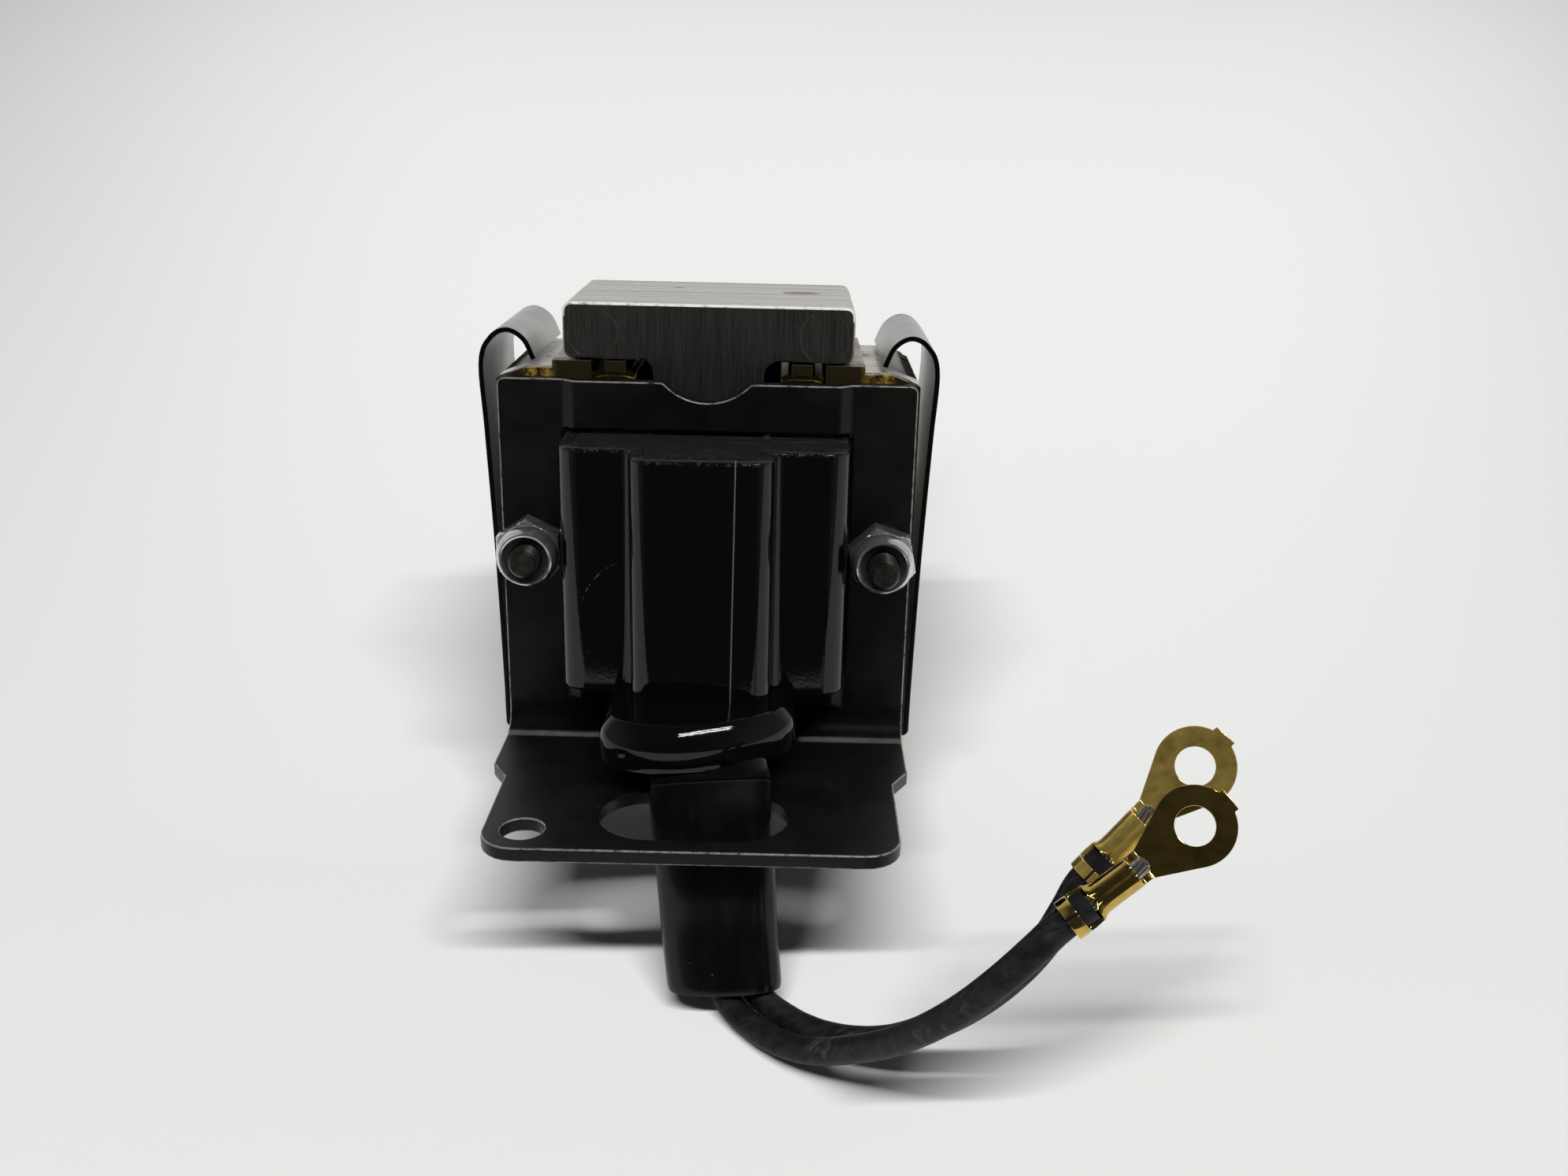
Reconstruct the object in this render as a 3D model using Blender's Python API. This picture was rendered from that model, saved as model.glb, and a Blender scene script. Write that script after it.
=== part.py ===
"""Laminated pull solenoid: T-shaped plunger, moulded coil, two angle brackets and two ring-ended leads.

Units are metres and +Z is up. The front, with the lead outlet, faces -Y. The origin lies on the
plunger's axis, in the plane of the undersides of the two mounting flanges.
"""

import math

import bmesh
import bpy
from mathutils import Matrix, Vector

# Clearances between pieces
SEAT_GAP = 0.0003
RUN_GAP = 0.0004
STEM_AIR_GAP = 0.0009
COIL_END_GAP = 0.0006
HOLE_GAP = 0.00032

# Plunger laminations
STACK_DEPTH = 0.0250
STEM_WIDTH = 0.0150
HEAD_WIDTH = 0.0388
HEAD_HEIGHT = 0.0074
HEAD_CORNER = 0.0012
HEAD_FILLET = 0.0020

# Plunger rivets
RIVET_HEAD_RADIUS = 0.0031
RIVET_HEAD_DEPTH = 0.0010
RIVET_SHANK_RADIUS = 0.0016
RIVET_EDGE_INSET = 0.0040
RIVET_RISE = 0.0034
STEM_RIVET_RISE = 0.0086

# Coil: bobbin, winding and moulded jacket
BOBBIN_WALL = 0.0012
BOBBIN_FLANGE = 0.0012
BOBBIN_CORNER = 0.0006
BOBBIN_RECESS = 0.0002
WINDING_BUILD = 0.0080
COIL_HEIGHT = 0.0337
JACKET_WALL = 0.0014
JACKET_FLOOR = 0.0012
JACKET_CORNER = 0.0035
JACKET_EDGE = 0.0006
CENTRE_BLOCK_WIDTH = 0.0184
CENTRE_BLOCK_REACH = 0.0058
CENTRE_BLOCK_CORNER = 0.0028
CENTRE_BLOCK_FILLET = 0.0015

# Jacket shelf, and the neck that the lead sleeve fits
SHELF_WIDTH = 0.0254
SHELF_REACH = 0.0143
SHELF_NOSE = 0.0074
SHELF_ROOT = 0.0056
SHELF_HEIGHT = 0.0063
SHELF_LAP = 0.0012
SHELF_BULLNOSE = 0.0027
SHELF_SKEW = 0.19
NECK_OFFSET = 0.0019
NECK_SETBACK = 0.0019
NECK_DROP = 0.0019
NECK_LENGTH = 0.0042
NECK_ROOT_SHIFT = -0.0009
NECK_TILT = 0.12
NECK_ROOT_SIZE = (0.0086, 0.0030)
NECK_END_SIZE = (0.0078, 0.0027)
SPIGOT_SIZE = (0.0062, 0.0016)
SPIGOT_END_HEIGHT = 0.0007

# Lead sleeve: a flattened tube, with the outer half sizes of its two ends and its middle line
SLEEVE_WALL = 0.0006
SLEEVE_TOP_SIZE = (0.0078, 0.0027)
SLEEVE_SIZE = (0.0074, 0.0038)
SLEEVE_POWER = 2.4
SLEEVE_RIM_TILT = -0.06
SLEEVE_STEPS = ((0.00015, -0.0024, -0.0038), (0.00095, -0.0041, -0.0109),
                (0.0015, -0.0051, -0.0179), (0.00235, -0.0070, -0.0256))

# Frame laminations
YOKE_HEIGHT = 0.0098
LEG_WIDTH = 0.0089
LIP_HEIGHT = 0.0075
SHOULDER_RUN = 0.0038
SHOULDER_DROP = 0.0015
PAD_RISE = 0.0011
PAD_MARGIN = 0.0015
STEP_LAND = 0.0012
SHADED_POLE = 0.0028

# Shading rings
RING_BAR = 0.0012
RING_HEIGHT = 0.0014
RING_SINK = 0.0014
RING_END_BAR = 0.0010
RING_CORNER = 0.0015

# Angle brackets
SHEET = 0.0019
PLATE_INSET = 0.0004
BRACKET_DROP = 0.0010
BRACKET_CORNER = 0.0010
BEND_RADIUS = 0.0030
BAND_WIDTH = 0.0354
JOGGLE_RUN = 0.0016
BAND_FADE_TOP = 0.0068
BAND_FADE_END = 0.0054
WINDOW_END_GAP = 0.0006
WINDOW_CORNER = 0.0008
NOTCH_RADIUS = 0.0078
NOTCH_DEPTH = 0.0026
NOTCH_SHOULDER = 0.0010
EAR_LENGTH = 0.0123
EAR_TAPER = 0.0037
EAR_STEP = 0.00215
FLANGE_CORNER = 0.0045
FLANGE_WEB = 0.0030
LEAD_HOLE_LENGTH = 0.0240
LEAD_HOLE_WIDTH = 0.0128
LEAD_HOLE_LEAD = 0.0018
MOUNT_HOLE_RADIUS = 0.0027
MOUNT_HOLE_SIDE_INSET = 0.00495
MOUNT_HOLE_EDGE_INSET = 0.0050

# Through screws, lock nuts and their inserts
SCREW_RADIUS = 0.00208
SCREW_RISE = 0.0278
SCREW_CHAMFER = 0.0005
SCREW_PROUD_LEFT = 0.0020
SCREW_PROUD_RIGHT = 0.0035
SCREW_HEAD_RADIUS = 0.0040
SCREW_HEAD_HEIGHT = 0.0030
SCREW_HEAD_EDGE = 0.0012
SCREW_SLOT_WIDTH = 0.0011
SCREW_SLOT_DEPTH = 0.0011
NUT_ACROSS_FLATS = 0.0085
NUT_TURN_LEFT = 4
NUT_TURN_RIGHT = 12
NUT_HEX_HEIGHT = 0.0034
NUT_COLLAR_HEIGHT = 0.0024
NUT_COLLAR_ROOT = 0.00415
NUT_COLLAR_RIM = 0.0035
NUT_LIP_RADIUS = 0.0031
NUT_LIP_DEPTH = 0.0004
NUT_GROOVE_RADIUS = 0.0036
INSERT_RADIUS = 0.0033
INSERT_HEIGHT = 0.0009

# Spring strap, with its middle line given from the frame's side and shoulder, then from its base
STRAP_SHEET = 0.0007
STRAP_WIDTH = 0.0220
STRAP_BEND = 0.0006
STRAP_SPACING = 0.0016
STRAP_SIDE_GAP = 0.0003
STRAP_FROM_SHOULDER = ((-0.0048, 0.0008), (-0.0035, 0.0035), (-0.0013, 0.0047), (0.0009, 0.0036),
                       (0.0023, 0.0002), (0.0019, -0.0092), (0.0012, -0.0262))
STRAP_FROM_BASE = ((0.00075, 0.0080),)

# Leads and their routes, from the sleeve to the terminals
LEAD_RADIUS = 0.0017
LEAD_SPACING = 0.0042
LEAD_FRONT_ROUTE = (
    (-0.0005, -0.0390, 0.0003), (-0.0005, -0.0398, -0.0030), (-0.0004, -0.0404, -0.0070),
    (0.0001, -0.0411, -0.0115), (0.0012, -0.0419, -0.0158), (0.00275, -0.0430, -0.0196),
    (0.0053, -0.0456, -0.0229), (0.0083, -0.0484, -0.0240), (0.0119, -0.0516, -0.0239),
    (0.0158, -0.0545, -0.0227), (0.0200, -0.0582, -0.0196), (0.0241, -0.0631, -0.0149),
    (0.0277, -0.0678, -0.0095), (0.0311, -0.0712, -0.0043), (0.0343, -0.0729, 0.0002),
    (0.0373, -0.0735, 0.0041), (0.03985, -0.0731, 0.00685), (0.0415, -0.07275, 0.0081),
    (0.0432, -0.0724, 0.00945))
LEAD_REAR_ROUTE = (
    (0.0040, -0.0390, 0.0003), (0.0040, -0.0398, -0.0030), (0.0039, -0.0403, -0.0070),
    (0.0041, -0.0408, -0.0115), (0.0050, -0.0413, -0.0156), (0.0066, -0.0426, -0.0193),
    (0.0090, -0.0443, -0.0222), (0.0123, -0.0466, -0.0235), (0.0162, -0.0493, -0.0237),
    (0.0206, -0.0520, -0.0227), (0.0252, -0.0550, -0.0202), (0.0294, -0.0586, -0.0158),
    (0.0331, -0.0625, -0.0104), (0.0363, -0.0658, -0.0048), (0.0391, -0.0675, 0.0003),
    (0.0412, -0.0680, 0.0048), (0.0429, -0.0676, 0.0086), (0.04426, -0.0673, 0.01017),
    (0.0457, -0.0670, 0.0118))
LEAD_FRONT_FACING = (-0.214, -0.840, 0.498)
LEAD_REAR_FACING = (-0.271, -0.866, 0.421)

# Ring terminals, along their own axis from the ring's centre back to the lead
TERMINAL_SHEET = 0.0005
TERMINAL_RING_RADIUS = 0.0043
TERMINAL_HOLE_RADIUS = 0.0021
TERMINAL_TAB_WIDTH = 0.0025
TERMINAL_TAB_LENGTH = 0.0001
TERMINAL_NECK_WIDTH = 0.0034
TERMINAL_NECK_END = 0.0072
BARREL_START = 0.0080
BARREL_LENGTH = 0.0046
BARREL_RADIUS = 0.0015
BARREL_SEAM = 0.0004
GRIP_FLARE = 0.0007
GRIP_WINDOW = 0.0019
GRIP_LENGTH = 0.0014
GRIP_RADIUS = 0.00225
GRIP_SEAM = 0.0008
STRANDS_RADIUS = 0.00095
STRANDS_PROUD = 0.0018

# Facets of round shapes
CORNER_STEPS = 4
ROUND_STEPS = 24
BEND_STEPS = 6
NOSE_STEPS = 16
OVAL_STEPS = 28
SHEET_COLUMNS = 16

# Places worked out from the sizes above, starting at the coil
BORE_X = STEM_WIDTH / 2 + RUN_GAP
BORE_Y = STACK_DEPTH / 2 + RUN_GAP
WINDING_START = BOBBIN_WALL + SEAT_GAP
WINDING_END = WINDING_START + WINDING_BUILD
CAVITY_START = WINDING_END + SEAT_GAP
JACKET_X = BORE_X + CAVITY_START + JACKET_WALL
JACKET_Y = BORE_Y + CAVITY_START + JACKET_WALL
WINDOW_X = JACKET_X + RUN_GAP
FRAME_X = WINDOW_X + LEG_WIDTH
SCREW_X = WINDOW_X + LEG_WIDTH / 2

FRAME_BASE = STRAP_SHEET + SEAT_GAP
YOKE_TOP = FRAME_BASE + YOKE_HEIGHT
COIL_BASE = YOKE_TOP + COIL_END_GAP
COIL_TOP = COIL_BASE + COIL_HEIGHT
LIP_BASE = COIL_TOP + COIL_END_GAP
SHOULDER = LIP_BASE + LIP_HEIGHT
PAD_TOP = SHOULDER + PAD_RISE
RING_BASE = PAD_TOP - RING_SINK - RING_HEIGHT
STEP_TOP = RING_BASE - SEAT_GAP
HEAD_BASE = PAD_TOP + SEAT_GAP
HEAD_TOP = HEAD_BASE + HEAD_HEIGHT
SCREW_Z = FRAME_BASE + SCREW_RISE

STEM_GAP_X = STEM_WIDTH / 2 + STEM_AIR_GAP
RING_X_NEAR = STEM_GAP_X + STEP_LAND
POLE_X_NEAR = RING_X_NEAR + RING_BAR + SEAT_GAP
POLE_X_FAR = POLE_X_NEAR + SHADED_POLE
SLOT_X_FAR = POLE_X_FAR + RING_BAR + 2 * SEAT_GAP
PAD_X = HEAD_WIDTH / 2 + PAD_MARGIN
RING_X_FAR = SLOT_X_FAR - SEAT_GAP
RING_INNER_Y = STACK_DEPTH / 2 + SEAT_GAP
RING_OUTER_Y = RING_INNER_Y + RING_END_BAR

BAND_RAISE = RING_END_BAR + SEAT_GAP
PLATE_BACK = STACK_DEPTH / 2 + SEAT_GAP
PLATE_FACE = PLATE_BACK + SHEET
PLATE_X = FRAME_X - PLATE_INSET
BRACKET_TOP = SHOULDER - BRACKET_DROP
FLANGE_X = PLATE_X - EAR_STEP

SHELF_TOP = COIL_BASE + SHELF_LAP
SHELF_BASE = SHELF_TOP - SHELF_HEIGHT
SHELF_FRONT = JACKET_Y + SHELF_REACH
OUTLET = Vector((NECK_OFFSET, -(SHELF_FRONT - NECK_SETBACK), SHELF_BASE - NECK_DROP))
SLEEVE_LINE = [OUTLET + Vector(step) for step in SLEEVE_STEPS]
OUTLET_AXIS = ((SLEEVE_LINE[0] - OUTLET).normalized() + Vector((NECK_TILT, 0, 0))).normalized()
LEAD_HOLE_Y = -SLEEVE_LINE[0].y + LEAD_HOLE_LEAD
FLANGE_REACH = LEAD_HOLE_Y + LEAD_HOLE_WIDTH / 2 + FLANGE_WEB

NUT_SEAT = PLATE_FACE + SEAT_GAP
NUT_COLLAR_BASE = NUT_SEAT + NUT_HEX_HEIGHT
NUT_RIM = NUT_COLLAR_BASE + NUT_COLLAR_HEIGHT
NUT_BORE_RADIUS = SCREW_RADIUS + SEAT_GAP
INSERT_TOP = NUT_RIM - NUT_LIP_DEPTH - SEAT_GAP

BARREL_END = BARREL_START + BARREL_LENGTH
WINDOW_START = BARREL_END + GRIP_FLARE
GRIP_START = WINDOW_START + GRIP_WINDOW
STRANDS_START = WINDOW_START
LEAD_END = STRANDS_START + SEAT_GAP
CRIMP_AXIS = BARREL_RADIUS + TERMINAL_SHEET / 2


def material(name, colour, roughness, metallic):
    """Make a Principled material with the given linear colour."""
    result = bpy.data.materials.new(name)
    result.use_nodes = True
    shader = result.node_tree.nodes["Principled BSDF"]
    shader.inputs["Base Color"].default_value = (*colour, 1.0)
    shader.inputs["Roughness"].default_value = roughness
    shader.inputs["Metallic"].default_value = metallic
    return result


def mesh_from(bm, name):
    """Turn a bmesh into a mesh with outward faces and smooth shading between shallow facets."""
    bmesh.ops.recalc_face_normals(bm, faces=bm.faces)
    mesh = bpy.data.meshes.new(name)
    bm.to_mesh(mesh)
    bm.free()
    mesh.shade_smooth()
    mesh.set_sharp_from_angle(angle=math.radians(30))
    return mesh


def add(name, mesh, finish, place=None, parent=None):
    """Link one named object, with its own material slot, at the given matrix."""
    mesh.materials.clear()
    mesh.materials.append(finish)
    result = bpy.data.objects.new(name, mesh)
    bpy.context.scene.collection.objects.link(result)
    if place is not None:
        result.matrix_world = place
    if parent is not None:
        result.parent = parent
        result.matrix_parent_inverse = parent.matrix_world.inverted()
    return result


def arc(centre, radius, start, end, steps):
    """Points of an arc, from one angle in degrees to another, both ends included."""
    angles = [math.radians(start + (end - start) * i / steps) for i in range(steps + 1)]
    return [(centre[0] + radius * math.cos(a), centre[1] + radius * math.sin(a)) for a in angles]


def circle(centre, radius, steps=ROUND_STEPS):
    """Points once round a circle."""
    return arc(centre, radius, 0, 360, steps)[:-1]


def rounded(corners, steps=CORNER_STEPS):
    """Outline through (x, y, radius) corners, each rounded by an arc where its radius isn't zero."""
    outline = []
    for i, (x, y, radius) in enumerate(corners):
        here = Vector((x, y))
        back = (Vector(corners[i - 1][:2]) - here).normalized()
        ahead = (Vector(corners[(i + 1) % len(corners)][:2]) - here).normalized()
        if radius == 0:
            outline.append((x, y))
            continue
        half_turn = back.angle(ahead) / 2
        centre = here + (back + ahead).normalized() * radius / math.sin(half_turn)
        first = here + back * radius / math.tan(half_turn) - centre
        last = here + ahead * radius / math.tan(half_turn) - centre
        turn = first.angle_signed(last)
        for step in range(steps + 1):
            outline.append(tuple(centre + Matrix.Rotation(-turn * step / steps, 2) @ first))
    return outline


def mirrored(right_half):
    """Close an outline that is the same on both sides of x = 0, from its right half."""
    return list(right_half) + [(-x, y) for x, y in reversed(right_half)]


def rounded_rectangle(half_x, half_y, radius):
    """Outline of a rectangle about the origin with rounded corners."""
    return rounded([(half_x, -half_y, radius), (half_x, half_y, radius),
                    (-half_x, half_y, radius), (-half_x, -half_y, radius)])


def inset(outline, distance):
    """Move each side of an anticlockwise outline inwards by the same distance."""
    result = []
    for i, point in enumerate(outline):
        here = Vector(point)
        first = (here - Vector(outline[i - 1])).normalized()
        second = (Vector(outline[(i + 1) % len(outline)]) - here).normalized()
        normal = (first.orthogonal() + second.orthogonal()).normalized()
        result.append(tuple(here + normal * distance / normal.dot(first.orthogonal())))
    return result


def loft(rings, name, closed=False):
    """Skin a row of rings with equal numbers of points, with flat caps or closed on itself."""
    bm = bmesh.new()
    loops = [[bm.verts.new(point) for point in ring] for ring in rings]
    pairs = list(zip(loops, loops[1:]))
    if closed:
        pairs.append((loops[-1], loops[0]))
    else:
        bm.faces.new(loops[0])
        bm.faces.new(loops[-1])
    for low, high in pairs:
        for i in range(len(low)):
            j = (i + 1) % len(low)
            bm.faces.new((low[i], low[j], high[j], high[i]))
    return mesh_from(bm, name)


def upright(outline, low, high, name):
    """Prism of an outline in the XY plane, between two heights."""
    return loft([[(x, y, z) for x, y in outline] for z in (low, high)], name)


def through(outline, low, high, name):
    """Prism of an outline in the XZ plane, between two depths."""
    return loft([[(x, y, z) for x, z in outline] for y in (low, high)], name)


def soft_edged(outline, low, high, radius, name, steps=CORNER_STEPS):
    """Upright prism whose upper and lower edges are rounded."""
    rings = []
    for level, side in ((low + radius, -1), (high - radius, 1)):
        turns = [90 * i / steps for i in range(steps + 1)]
        for turn in (turns if side > 0 else reversed(turns)):
            bend = math.radians(turn)
            shape = inset(outline, radius * (1 - math.cos(bend)))
            rings.append([(x, y, level + side * radius * math.sin(bend)) for x, y in shape])
    return loft(rings, name)


def turned(profile, name, place=(0, 0), ring=False):
    """Turn (radius, depth) points about an axis along Y through the given x and z."""
    bm = bmesh.new()
    rows = []
    for radius, depth in profile:
        points = circle(place, radius) if radius > 0 else [place]
        rows.append([bm.verts.new((x, depth, z)) for x, z in points])
    pairs = list(zip(rows, rows[1:])) + ([(rows[-1], rows[0])] if ring else [])
    for first, second in pairs:
        for i in range(ROUND_STEPS):
            j = (i + 1) % ROUND_STEPS
            corners = [first[i % len(first)], first[j % len(first)],
                       second[j % len(second)], second[i % len(second)]]
            bm.faces.new(list(dict.fromkeys(corners)))
    return mesh_from(bm, name)


def framed(profile, half_x, half_y, corner, name):
    """Sweep a closed profile of (offset, height) points round a rounded rectangle."""
    rings = []
    for offset, z in profile:
        outline = rounded_rectangle(half_x + offset, half_y + offset, corner + offset)
        rings.append([(x, y, z) for x, y in outline])
    return loft(rings, name, closed=True)


def sheet(front, back, name):
    """Close two grids of points, the front and the back of a sheet, into one body."""
    bm = bmesh.new()
    grids = [[[bm.verts.new(point) for point in row] for row in grid] for grid in (front, back)]
    rows, columns = len(front), len(front[0])
    for grid in grids:
        for i in range(rows - 1):
            for j in range(columns - 1):
                bm.faces.new((grid[i][j], grid[i][j + 1], grid[i + 1][j + 1], grid[i + 1][j]))
    border = [(0, j) for j in range(columns - 1)] + [(i, columns - 1) for i in range(rows - 1)]
    border += [(rows - 1, j) for j in range(columns - 1, 0, -1)] + [(i, 0) for i in range(rows - 1, 0, -1)]
    for k, (i, j) in enumerate(border):
        m, n = border[(k + 1) % len(border)]
        bm.faces.new((grids[0][i][j], grids[0][m][n], grids[1][m][n], grids[1][i][j]))
    return mesh_from(bm, name)


def combine(mesh, steps, name):
    """Apply a row of (operation, mesh) Booleans to a mesh and return the finished mesh."""
    body = bpy.data.objects.new(name, mesh)
    bpy.context.scene.collection.objects.link(body)
    tools = []
    for operation, tool_mesh in steps:
        tool = bpy.data.objects.new(name + "_tool", tool_mesh)
        tool.hide_render = True
        tool.display_type = "WIRE"
        bpy.context.scene.collection.objects.link(tool)
        tools.append(tool)
        cut = body.modifiers.new(operation.lower(), "BOOLEAN")
        cut.operation = operation
        cut.solver = "EXACT"
        cut.object = tool
    bpy.context.view_layer.update()
    finished = bpy.data.meshes.new_from_object(body.evaluated_get(bpy.context.evaluated_depsgraph_get()))
    for spare in [body] + tools:
        spare_mesh = spare.data
        bpy.data.objects.remove(spare)
        bpy.data.meshes.remove(spare_mesh)
    finished.shade_smooth()
    finished.set_sharp_from_angle(angle=math.radians(30))
    return finished


def smooth_line(points, spacing):
    """Evenly spaced points along a smooth curve through the given ones."""
    route = [Vector(point) for point in points]
    route = [2 * route[0] - route[1]] + route + [2 * route[-1] - route[-2]]
    fine = 16
    dense = []
    for before, here, after, beyond in zip(route, route[1:], route[2:], route[3:]):
        for i in range(fine):
            t = i / fine
            dense.append(0.5 * (2 * here + (after - before) * t
                                + (2 * before - 5 * here + 4 * after - beyond) * t ** 2
                                + (3 * here - before - 3 * after + beyond) * t ** 3))
    dense.append(route[-2])
    travel = [0.0]
    for first, second in zip(dense, dense[1:]):
        travel.append(travel[-1] + (second - first).length)
    count = max(2, round(travel[-1] / spacing))
    result = []
    k = 0
    for i in range(count + 1):
        target = travel[-1] * i / count
        while k < len(dense) - 2 and travel[k + 1] < target:
            k += 1
        result.append(dense[k].lerp(dense[k + 1], (target - travel[k]) / (travel[k + 1] - travel[k])))
    return result


def oval_ring(centre, axis, size, power=SLEEVE_POWER):
    """Ring of a flattened oval about a point, square to an axis, with its length along X."""
    across = Vector((1, 0, 0)) - axis * axis.x
    across.normalize()
    depth = axis.cross(across)
    ring = []
    for i in range(OVAL_STEPS):
        angle = 2 * math.pi * i / OVAL_STEPS
        c, s = math.cos(angle), math.sin(angle)
        u = math.copysign(abs(c) ** (2 / power), c) * size[0]
        v = math.copysign(abs(s) ** (2 / power), s) * size[1]
        ring.append(centre + across * u + depth * v)
    return ring


def make_plunger():
    """T-shaped stack, with countersinks for the flush heads of its rivets."""
    half_head = HEAD_WIDTH / 2
    half_stem = STEM_WIDTH / 2
    right = [(half_stem, COIL_BASE, 0), (half_stem, HEAD_BASE, HEAD_FILLET),
             (half_head, HEAD_BASE, HEAD_CORNER), (half_head, HEAD_TOP, HEAD_CORNER)]
    left = [(-x, z, radius) for x, z, radius in reversed(right)]
    body = through(rounded(right + left), -STACK_DEPTH / 2, STACK_DEPTH / 2, "plunger_stack")
    cuts = []
    for place in rivet_places():
        cuts.append(("DIFFERENCE", turned(rivet_profile(HOLE_GAP), "rivet_hole", place)))
    return combine(body, cuts, "plunger_stack")


def rivet_places():
    """The x and z of the three plunger rivets: left, right and stem."""
    rivet_x = HEAD_WIDTH / 2 - RIVET_EDGE_INSET
    rivet_z = HEAD_BASE + RIVET_RISE
    return ((-rivet_x, rivet_z), (rivet_x, rivet_z), (0, COIL_BASE + STEM_RIVET_RISE))


def rivet_profile(clearance):
    """Turned profile of a rivet with two flush heads, grown by a clearance to make its hole."""
    head = RIVET_HEAD_RADIUS + clearance
    shank = RIVET_SHANK_RADIUS + clearance
    end = STACK_DEPTH / 2 + clearance
    under_head = STACK_DEPTH / 2 - RIVET_HEAD_DEPTH - clearance
    return [(0, -end), (head, -end), (head, -under_head), (shank, -under_head),
            (shank, under_head), (head, under_head), (head, end), (0, end)]


def make_frame():
    """C-shaped lamination stack with pole pads, ring slots and screw holes."""
    right = [(FRAME_X, FRAME_BASE), (FRAME_X, SHOULDER - SHOULDER_DROP),
             (FRAME_X - SHOULDER_RUN, SHOULDER), (PAD_X, SHOULDER), (PAD_X, PAD_TOP),
             (SLOT_X_FAR, PAD_TOP), (SLOT_X_FAR, STEP_TOP), (POLE_X_FAR, STEP_TOP),
             (POLE_X_FAR, PAD_TOP), (POLE_X_NEAR, PAD_TOP), (POLE_X_NEAR, STEP_TOP),
             (STEM_GAP_X, STEP_TOP), (STEM_GAP_X, LIP_BASE), (WINDOW_X, LIP_BASE), (WINDOW_X, YOKE_TOP)]
    body = through(mirrored(right), -STACK_DEPTH / 2, STACK_DEPTH / 2, "frame_stack")
    cuts = [("DIFFERENCE", screw_hole(side, STACK_DEPTH)) for side in (-1, 1)]
    return combine(body, cuts, "frame_stack")


def screw_hole(side, reach):
    """Cutter for the clearance hole of one through screw."""
    outline = circle((side * SCREW_X, SCREW_Z), SCREW_RADIUS + HOLE_GAP)
    return through(outline, -reach, reach, "screw_hole")


def make_shading_ring(side):
    """Flat copper ring round one shaded pole, with its ends outside the stack."""
    middle = side * (RING_X_NEAR + RING_X_FAR) / 2
    half_x = (RING_X_FAR - RING_X_NEAR) / 2
    outer = rounded_rectangle(half_x, RING_OUTER_Y, RING_CORNER)
    inner = rounded_rectangle(half_x - RING_BAR, RING_INNER_Y, RING_CORNER / 2)
    rings = []
    for outline, z in ((outer, RING_BASE), (outer, RING_BASE + RING_HEIGHT),
                       (inner, RING_BASE + RING_HEIGHT), (inner, RING_BASE)):
        rings.append([(middle + x, y, z) for x, y in outline])
    return loft(rings, "shading_ring", closed=True)


def make_bobbin():
    """Rectangular spool with two flanges."""
    low, high = COIL_BASE + BOBBIN_RECESS, COIL_TOP - BOBBIN_RECESS
    first = COIL_BASE + JACKET_FLOOR + SEAT_GAP
    last = COIL_TOP - JACKET_FLOOR - SEAT_GAP
    profile = [(0, low), (BOBBIN_WALL, low), (BOBBIN_WALL, first), (WINDING_END, first),
               (WINDING_END, first + BOBBIN_FLANGE), (BOBBIN_WALL, first + BOBBIN_FLANGE),
               (BOBBIN_WALL, last - BOBBIN_FLANGE), (WINDING_END, last - BOBBIN_FLANGE),
               (WINDING_END, last), (BOBBIN_WALL, last), (BOBBIN_WALL, high), (0, high)]
    return framed(profile, BORE_X, BORE_Y, BOBBIN_CORNER, "coil_bobbin")


def make_winding():
    """Copper winding as the one block that it forms on the spool."""
    margin = JACKET_FLOOR + BOBBIN_FLANGE + 2 * SEAT_GAP
    low, high = COIL_BASE + margin, COIL_TOP - margin
    profile = [(WINDING_START, low), (WINDING_END, low), (WINDING_END, high), (WINDING_START, high)]
    return framed(profile, BORE_X, BORE_Y, BOBBIN_CORNER, "coil_winding")


def jacket_outline():
    """Plan of the jacket: a wide block with a narrower block standing out at the front."""
    front = -(JACKET_Y + CENTRE_BLOCK_REACH)
    centre_x = CENTRE_BLOCK_WIDTH / 2
    right = [(centre_x, front, CENTRE_BLOCK_CORNER), (centre_x, -JACKET_Y, CENTRE_BLOCK_FILLET),
             (JACKET_X, -JACKET_Y, JACKET_CORNER), (JACKET_X, JACKET_Y, JACKET_CORNER)]
    left = [(-x, y, radius) for x, y, radius in reversed(right)]
    return rounded(right + left)


def shelf_outline():
    """Plan of the shelf: straight sides and a half-elliptical nose, a little further out on the left."""
    half = SHELF_WIDTH / 2
    root = -(JACKET_Y - SHELF_ROOT)
    nose_y = -(SHELF_FRONT - SHELF_NOSE)
    nose = []
    for i in range(NOSE_STEPS + 1):
        angle = math.pi + math.pi * i / NOSE_STEPS
        nose.append((half * math.cos(angle), nose_y + SHELF_NOSE * math.sin(angle)))
    return [(x, y + SHELF_SKEW * x) for x, y in nose + [(half, root), (-half, root)]]


def make_neck():
    """Oval neck under the shelf, with a shoulder and the spigot inside the sleeve."""
    root = OUTLET - OUTLET_AXIS * NECK_LENGTH + Vector((NECK_ROOT_SHIFT, 0, 0))
    end = SLEEVE_LINE[0].copy()
    end.z = SPIGOT_END_HEIGHT
    rings = [oval_ring(root, OUTLET_AXIS, NECK_ROOT_SIZE), oval_ring(OUTLET, OUTLET_AXIS, NECK_END_SIZE),
             oval_ring(OUTLET, OUTLET_AXIS, SPIGOT_SIZE), oval_ring(end, Vector((0, 0, -1)), SPIGOT_SIZE)]
    return loft(rings, "neck")


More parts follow.
